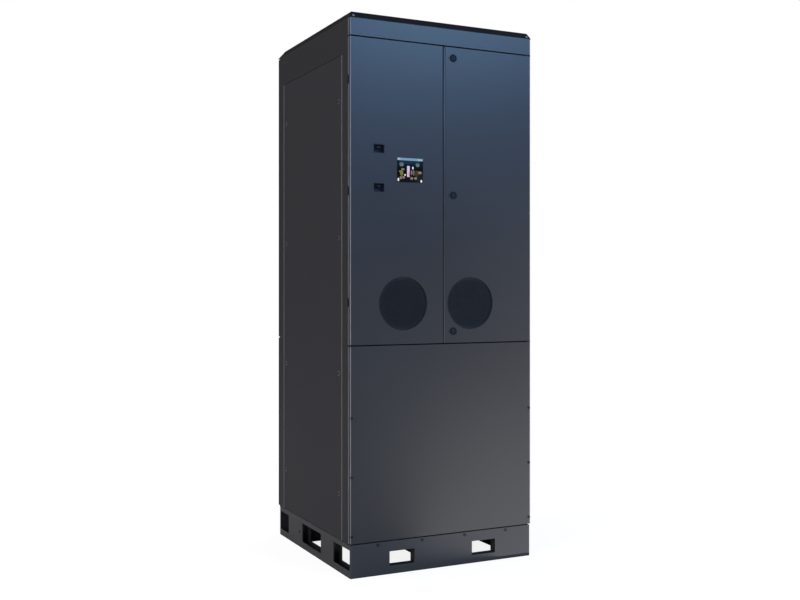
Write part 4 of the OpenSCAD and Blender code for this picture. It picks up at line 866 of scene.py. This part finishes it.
# %% Meeting strip
STRIP_OVER_GAP, STRIP_ON_DOOR, STRIP_PROUD, STRIP_BACK = 0.0027, 0.0018, 0.0002, 0.0075
door_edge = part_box("right_door")[0].x
bm = bmesh.new()
rounded_box(bm, (door_edge - STRIP_OVER_GAP, SKIN_Y - STRIP_PROUD, door_low.z + END_CLEAR),
            (door_edge + STRIP_ON_DOOR, SKIN_Y + STRIP_BACK, door_high.z - END_CLEAR), 0.0002)
# A lighter copy of the door paint: painted light against the seam's shade.
make_piece(bm, "meeting_strip", "right_door", "door_paint", look="strip_painted_light")
make_piece(washers, "side_washers", "cabinet", "screw_black", look="dull_steel")

# %% [markdown]
# ## Louvre hoods
# The rear door lets air out through rows of pressed louvres. A press cuts one long side of each
# slot and pushes a hood outwards. One hood is a box whose upper edge is pulled back to the skin
# and whose ends lean in. Its back and underside are taken away and Solidify gives the sheet.

# %% Hoods
HOOD_LENGTH, HOOD_PROUD, HOOD_HEIGHT, HOOD_SHEET = 0.236, 0.0062, 0.0105, 0.0010
HOOD_LEAN, HOOD_TOP, HOOD_ROUND, HOOD_DROP, HOOD_SUNK = 0.010, 0.0012, 0.0015, 0.0015, 0.0002
LOUVRE_ROWS, LOUVRE_PITCH, LOUVRE_MIDDLE, LOUVRE_END = 12, 0.018, 0.145, 0.120
low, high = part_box("rear_door")
field_bottoms = [low.z + LOUVRE_END, high.z - LOUVRE_END - LOUVRE_ROWS * LOUVRE_PITCH]
bm = bmesh.new()
half_length = HOOD_LENGTH / 2
hood_box = between((-half_length, 0, 0), (half_length, HOOD_PROUD, HOOD_HEIGHT))
for vert in bmesh.ops.create_cube(bm, size=1.0, matrix=hood_box)["verts"]:
    if vert.co.y > HOOD_PROUD / 2:
        vert.co.x *= 1 - HOOD_LEAN / HOOD_LENGTH
        if vert.co.z > HOOD_HEIGHT / 2:
            vert.co.y = HOOD_TOP
open_faces = [f for f in bm.faces if f.normal.y < -0.9 or f.normal.z < -0.9]
bmesh.ops.delete(bm, geom=open_faces, context="FACES")
round_edges(bm, [e for e in bm.edges if all(v.co.y > 0.001 for v in e.verts)], HOOD_ROUND, 2)
thicken(bm, HOOD_SHEET)
hood = everything(bm)
for bottom in field_bottoms:
    for row in range(LOUVRE_ROWS):
        for side in (-1, 1):
            copy_to(bm, hood, (side * LOUVRE_MIDDLE, OUTSIDE - HOOD_SUNK,
                               bottom + row * LOUVRE_PITCH - HOOD_DROP))
bmesh.ops.delete(bm, geom=points(hood), context="VERTS")
make_piece(bm, "louvre_hoods", "rear_door", "door_paint", smooth_angle=40)

# %% [markdown]
# ## Rear handle
# The rear door has a swing handle on a spindle, with a tongue inside that grips the frame. The
# grip is a rounded bar that grows slimmer towards its free end, which needs only its lower points
# pulled in before the rounding. The rose and the spindle are turned.

# %% Handle
ROSE_RADIUS, SPINDLE_RADIUS, SPINDLE_ROUND = 0.015, 0.008, 0.0006
TONGUE_LENGTH, TONGUE_WIDTH, TONGUE = 0.030, 0.014, 0.004
GRIP_HALF, GRIP_CLEAR, GRIP_ABOVE, GRIP_ROUND = 0.011, 0.0045, 0.010, 0.0032
SLIMMER, CLOSER = 0.3, 0.0035
low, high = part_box("rear_door_handle")
pivot = Vector(((low.x + high.x) / 2, 0, high.z - ROSE_RADIUS))
bm = bmesh.new()
grip_box = between((pivot.x - GRIP_HALF, OUTSIDE + GRIP_CLEAR, low.z),
                   (pivot.x + GRIP_HALF, high.y, pivot.z + GRIP_ABOVE))
bmesh.ops.create_cube(bm, size=1.0, matrix=grip_box)
tall = [e for e in bm.edges if abs(e.verts[0].co.z - e.verts[1].co.z) > 0.01]
bmesh.ops.subdivide_edges(bm, edges=tall, cuts=5)
for vert in bm.verts:
    down = max((pivot.z - vert.co.z) / (pivot.z - low.z), 0)
    vert.co.x = pivot.x + (vert.co.x - pivot.x) * (1 - SLIMMER * down ** 1.5)
    if vert.co.y > OUTSIDE + 0.01:
        vert.co.y -= CLOSER * down ** 2
sharp = [e for e in bm.edges if len(e.link_faces) == 2 and e.calc_face_angle() > 0.6]
round_edges(bm, sharp, GRIP_ROUND, 4)
turned(bm, [(0, 0.0145), (0.009, 0.0143), (0.0132, 0.0128), (ROSE_RADIUS, 0.0100),
            (ROSE_RADIUS, 0.0025), (0, 0.0025)], (pivot.x, OUTSIDE, pivot.z))
turned(bm, [(0, low.y), (SPINDLE_RADIUS - SPINDLE_ROUND, low.y),
            (SPINDLE_RADIUS, low.y + SPINDLE_ROUND), (SPINDLE_RADIUS, OUTSIDE + 0.006),
            (0, OUTSIDE + 0.006)], (pivot.x, 0, pivot.z), 32)
rounded_box(bm, (pivot.x - TONGUE_WIDTH / 2, low.y, pivot.z - TONGUE_LENGTH),
            (pivot.x + TONGUE_WIDTH / 2, low.y + TONGUE, pivot.z + TONGUE_WIDTH / 2), 0.001)
make_piece(bm, "swing_handle", "rear_handle", "handle_black", ["rear_door_handle"])

# %% [markdown]
# ## Control panel
# The electrical devices hang on a steel mounting plate: a slotted wiring duct, a rail of terminals,
# a power supply, circuit breakers, two pump drives, the main switch and the controller. Each is
# built from rounded boxes for its body, cover, ribs and levers, and turned knobs and screws, with
# the pieces grouped by finish. Sizes here are in millimetres, as on a fitter's drawing.

# %% Device helpers
panel_low, panel_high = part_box("control_panel")
PLATE = 3
plate_front = panel_high.y - PLATE / 1000
shops = {}


def shop(look):
    """The bmesh that collects all panel parts with one look."""
    if look not in shops:
        shops[look] = bmesh.new()
    return shops[look]


def device(x, drop, width, height, shallow):
    """A device's corners in metres, from its middle, drop, width, height and depth step in mm."""
    top = panel_high.z - drop / 1000
    return (Vector(((x - width / 2) / 1000, panel_low.y + shallow / 1000, top - height / 1000)),
            Vector(((x + width / 2) / 1000, plate_front, top)))


def span(low, high, ends):
    """Two places in metres from two numbers in mm: from the low end, or negative from the high."""
    first, last = ends
    return (low if first >= 0 else high) + first / 1000, (low if last > 0 else high) + last / 1000


def blocks(look, box, across, depth, heights, bevel=0.8, segments=2, count=1, pitch=0):
    """A rounded block inside a device's box, or a row of them to the right."""
    (x0, x1), (y0, y1), (z0, z1) = (span(*ends) for ends in zip(*box, (across, depth, heights)))
    for index in range(count):
        shift = index * pitch / 1000
        rounded_box(shop(look), (x0 + shift, y0, z0), (x1 + shift, y1, z1), bevel / 1000, segments)


def screw_head(x, y, z, radius):
    radius /= 1000
    turned(shop("zinc"), [(0, -0.0014), (radius * 0.7, -0.0013), (radius, -0.0004),
                          (radius, 0.001), (0, 0.001)], (x, y, z), 16)


def screw_pair(box, inset, front, radius, aside=0):
    """A screw near the bottom and one near the top of a device, on or beside its middle line."""
    low, high = box
    for z in (low.z + inset / 1000, high.z - inset / 1000):
        screw_head((low.x + high.x) / 2 + aside, low.y + front / 1000, z, radius)


print("panel height", round(panel_high.z - panel_low.z, 3))

# %% Plate, rails and duct
FULL = (0, 0)
blocks("galvanised", (panel_low, panel_high), FULL, (-PLATE, 0), FULL, 0.9)
for side in (-1, 1):
    for share in (0.03, 0.35, 0.65, 0.97):
        screw_head(side * (panel_high.x - 0.014), plate_front,
                   panel_low.z + share * (panel_high.z - panel_low.z), 6)
for x, drop, width in ((-199, 196.5, 238), (-224, 373.5, 188)):
    rail = device(x, drop, width, 35, 0)
    blocks("zinc", rail, FULL, (-7.5, -6.2), FULL, 0.4, 1)
    blocks("zinc", rail, FULL, (-6.5, 0), (5, -5), 0.4, 1)
duct = device(0, 104, 620, 50, 33)
blocks("device_grey", duct, FULL, (-2, 0), FULL, 0.4, 1)
blocks("device_grey", duct, FULL, (0, 2.2), FULL)
for heights in ((1, 3), (-3, -1)):
    blocks("device_grey", duct, (4, 11.5), (2, 0), heights, 0, count=49, pitch=12.5)

# %% Terminals and breakers
for index in range(30):
    terminal = device(-300 + index * 7, 184, 5.6, 60, 43)
    look = "terminal_green" if index % 10 == 9 else "device_grey"
    blocks(look, terminal, FULL, (0, -4), FULL, 0.7)
    screw_pair(terminal, 9, 0, 1.9)
for index in range(8):
    breaker = device(-300 + index * 22, 349, 18, 85, 18)
    blocks("device_pale", breaker, FULL, (22, -4), FULL, 1.2)
    blocks("device_pale", breaker, FULL, (4, 30), (20, -20), 1.2)
    blocks("device_black", breaker, (5, -5), (0, 12), (40, 52), 1.8, 3)
    screw_pair(breaker, 9, 22, 3.4)

# %% Power supply and controller
supply = device(210, 254, 180, 120, 3)
blocks("galvanised", supply, FULL, (4, 0), FULL, 1.5, 3)
blocks("galvanised", supply, (20, 24), (1, 6), (34, -10), count=16, pitch=9.3)
blocks("device_black", supply, (10, -10), (0, 14), (6, 26), 1)
for index in range(9):
    screw_head(supply[0].x + 0.020 + index * 0.0175, supply[0].y, supply[0].z + 0.016, 3.4)
controller = device(-265, 564, 130, 110, 18)
blocks("device_pale", controller, FULL, (10, 0), FULL, 2, 3)
blocks("device_grey", controller, (6, -6), (3, 14), (26, -26), 1.6, 3)
for heights in ((4, 18), (-20, -6)):
    blocks("terminal_green", controller, (10, 17.8), (2, 14), heights, 0.6, 1, 12, 9.4)
blocks("lamp_green", controller, (18, 22), (1.8, 4), (-40, -36), 0.6, count=8, pitch=12.5)

# %% Drives and main switch
for side in (-1, 1):
    drive = device(side * 95, 434, 150, 340, 0)
    blocks("device_black", drive, FULL, (22, 0), FULL, 2, 3)
    blocks("device_pale", drive, (3, -3), (4, 26), (60, -40), 5, 4)
    for heights in ((4, 52), (-34, -4)):
        blocks("device_black", drive, (8, 12.5), (12, 26), heights, 0.8, 1, 13, 10.7)
    blocks("device_black", drive, (41, -41), (1.2, 8), (-170, -62), 2.5, 3)
    blocks("screen", drive, (49, -49), (0.6, 3), (-104, -72))
    turned(shop("device_grey"), [(0, 0), (0.010, 0), (0.0125, 0.0012), (0.0125, 0.004), (0, 0.004)],
           (side * 0.095, panel_low.y, drive[1].z - 0.138), 32)
switch = device(265, 524, 140, 220, 8)
blocks("device_pale", switch, FULL, (28, 0), FULL, 3, 3)
blocks("device_grey", switch, (10, -10), (22, 34), (56, -56), 2, 3)
knob = (0.265, switch[0].y, (switch[0].z + switch[1].z) / 2)
turned(shop("device_yellow"), [(0, 0.018), (0.036, 0.018), (0.038, 0.020), (0.038, 0.026),
                               (0, 0.026)], knob)
turned(shop("device_red"), [(0, 0.008), (0.018, 0.008), (0.022, 0.010), (0.024, 0.020),
                            (0, 0.020)], knob)
blocks("device_red", switch, (63, -63), (0, 14), (82, -82), 3, 4)
for x in (-0.045, 0, 0.045):
    screw_pair(switch, 20, 28, 6, x)

# %% Hand over the panel
for name, bm in shops.items():
    make_piece(bm, f"panel_{name}", "cabinet", "panel_paint", ["control_panel"], look=name)
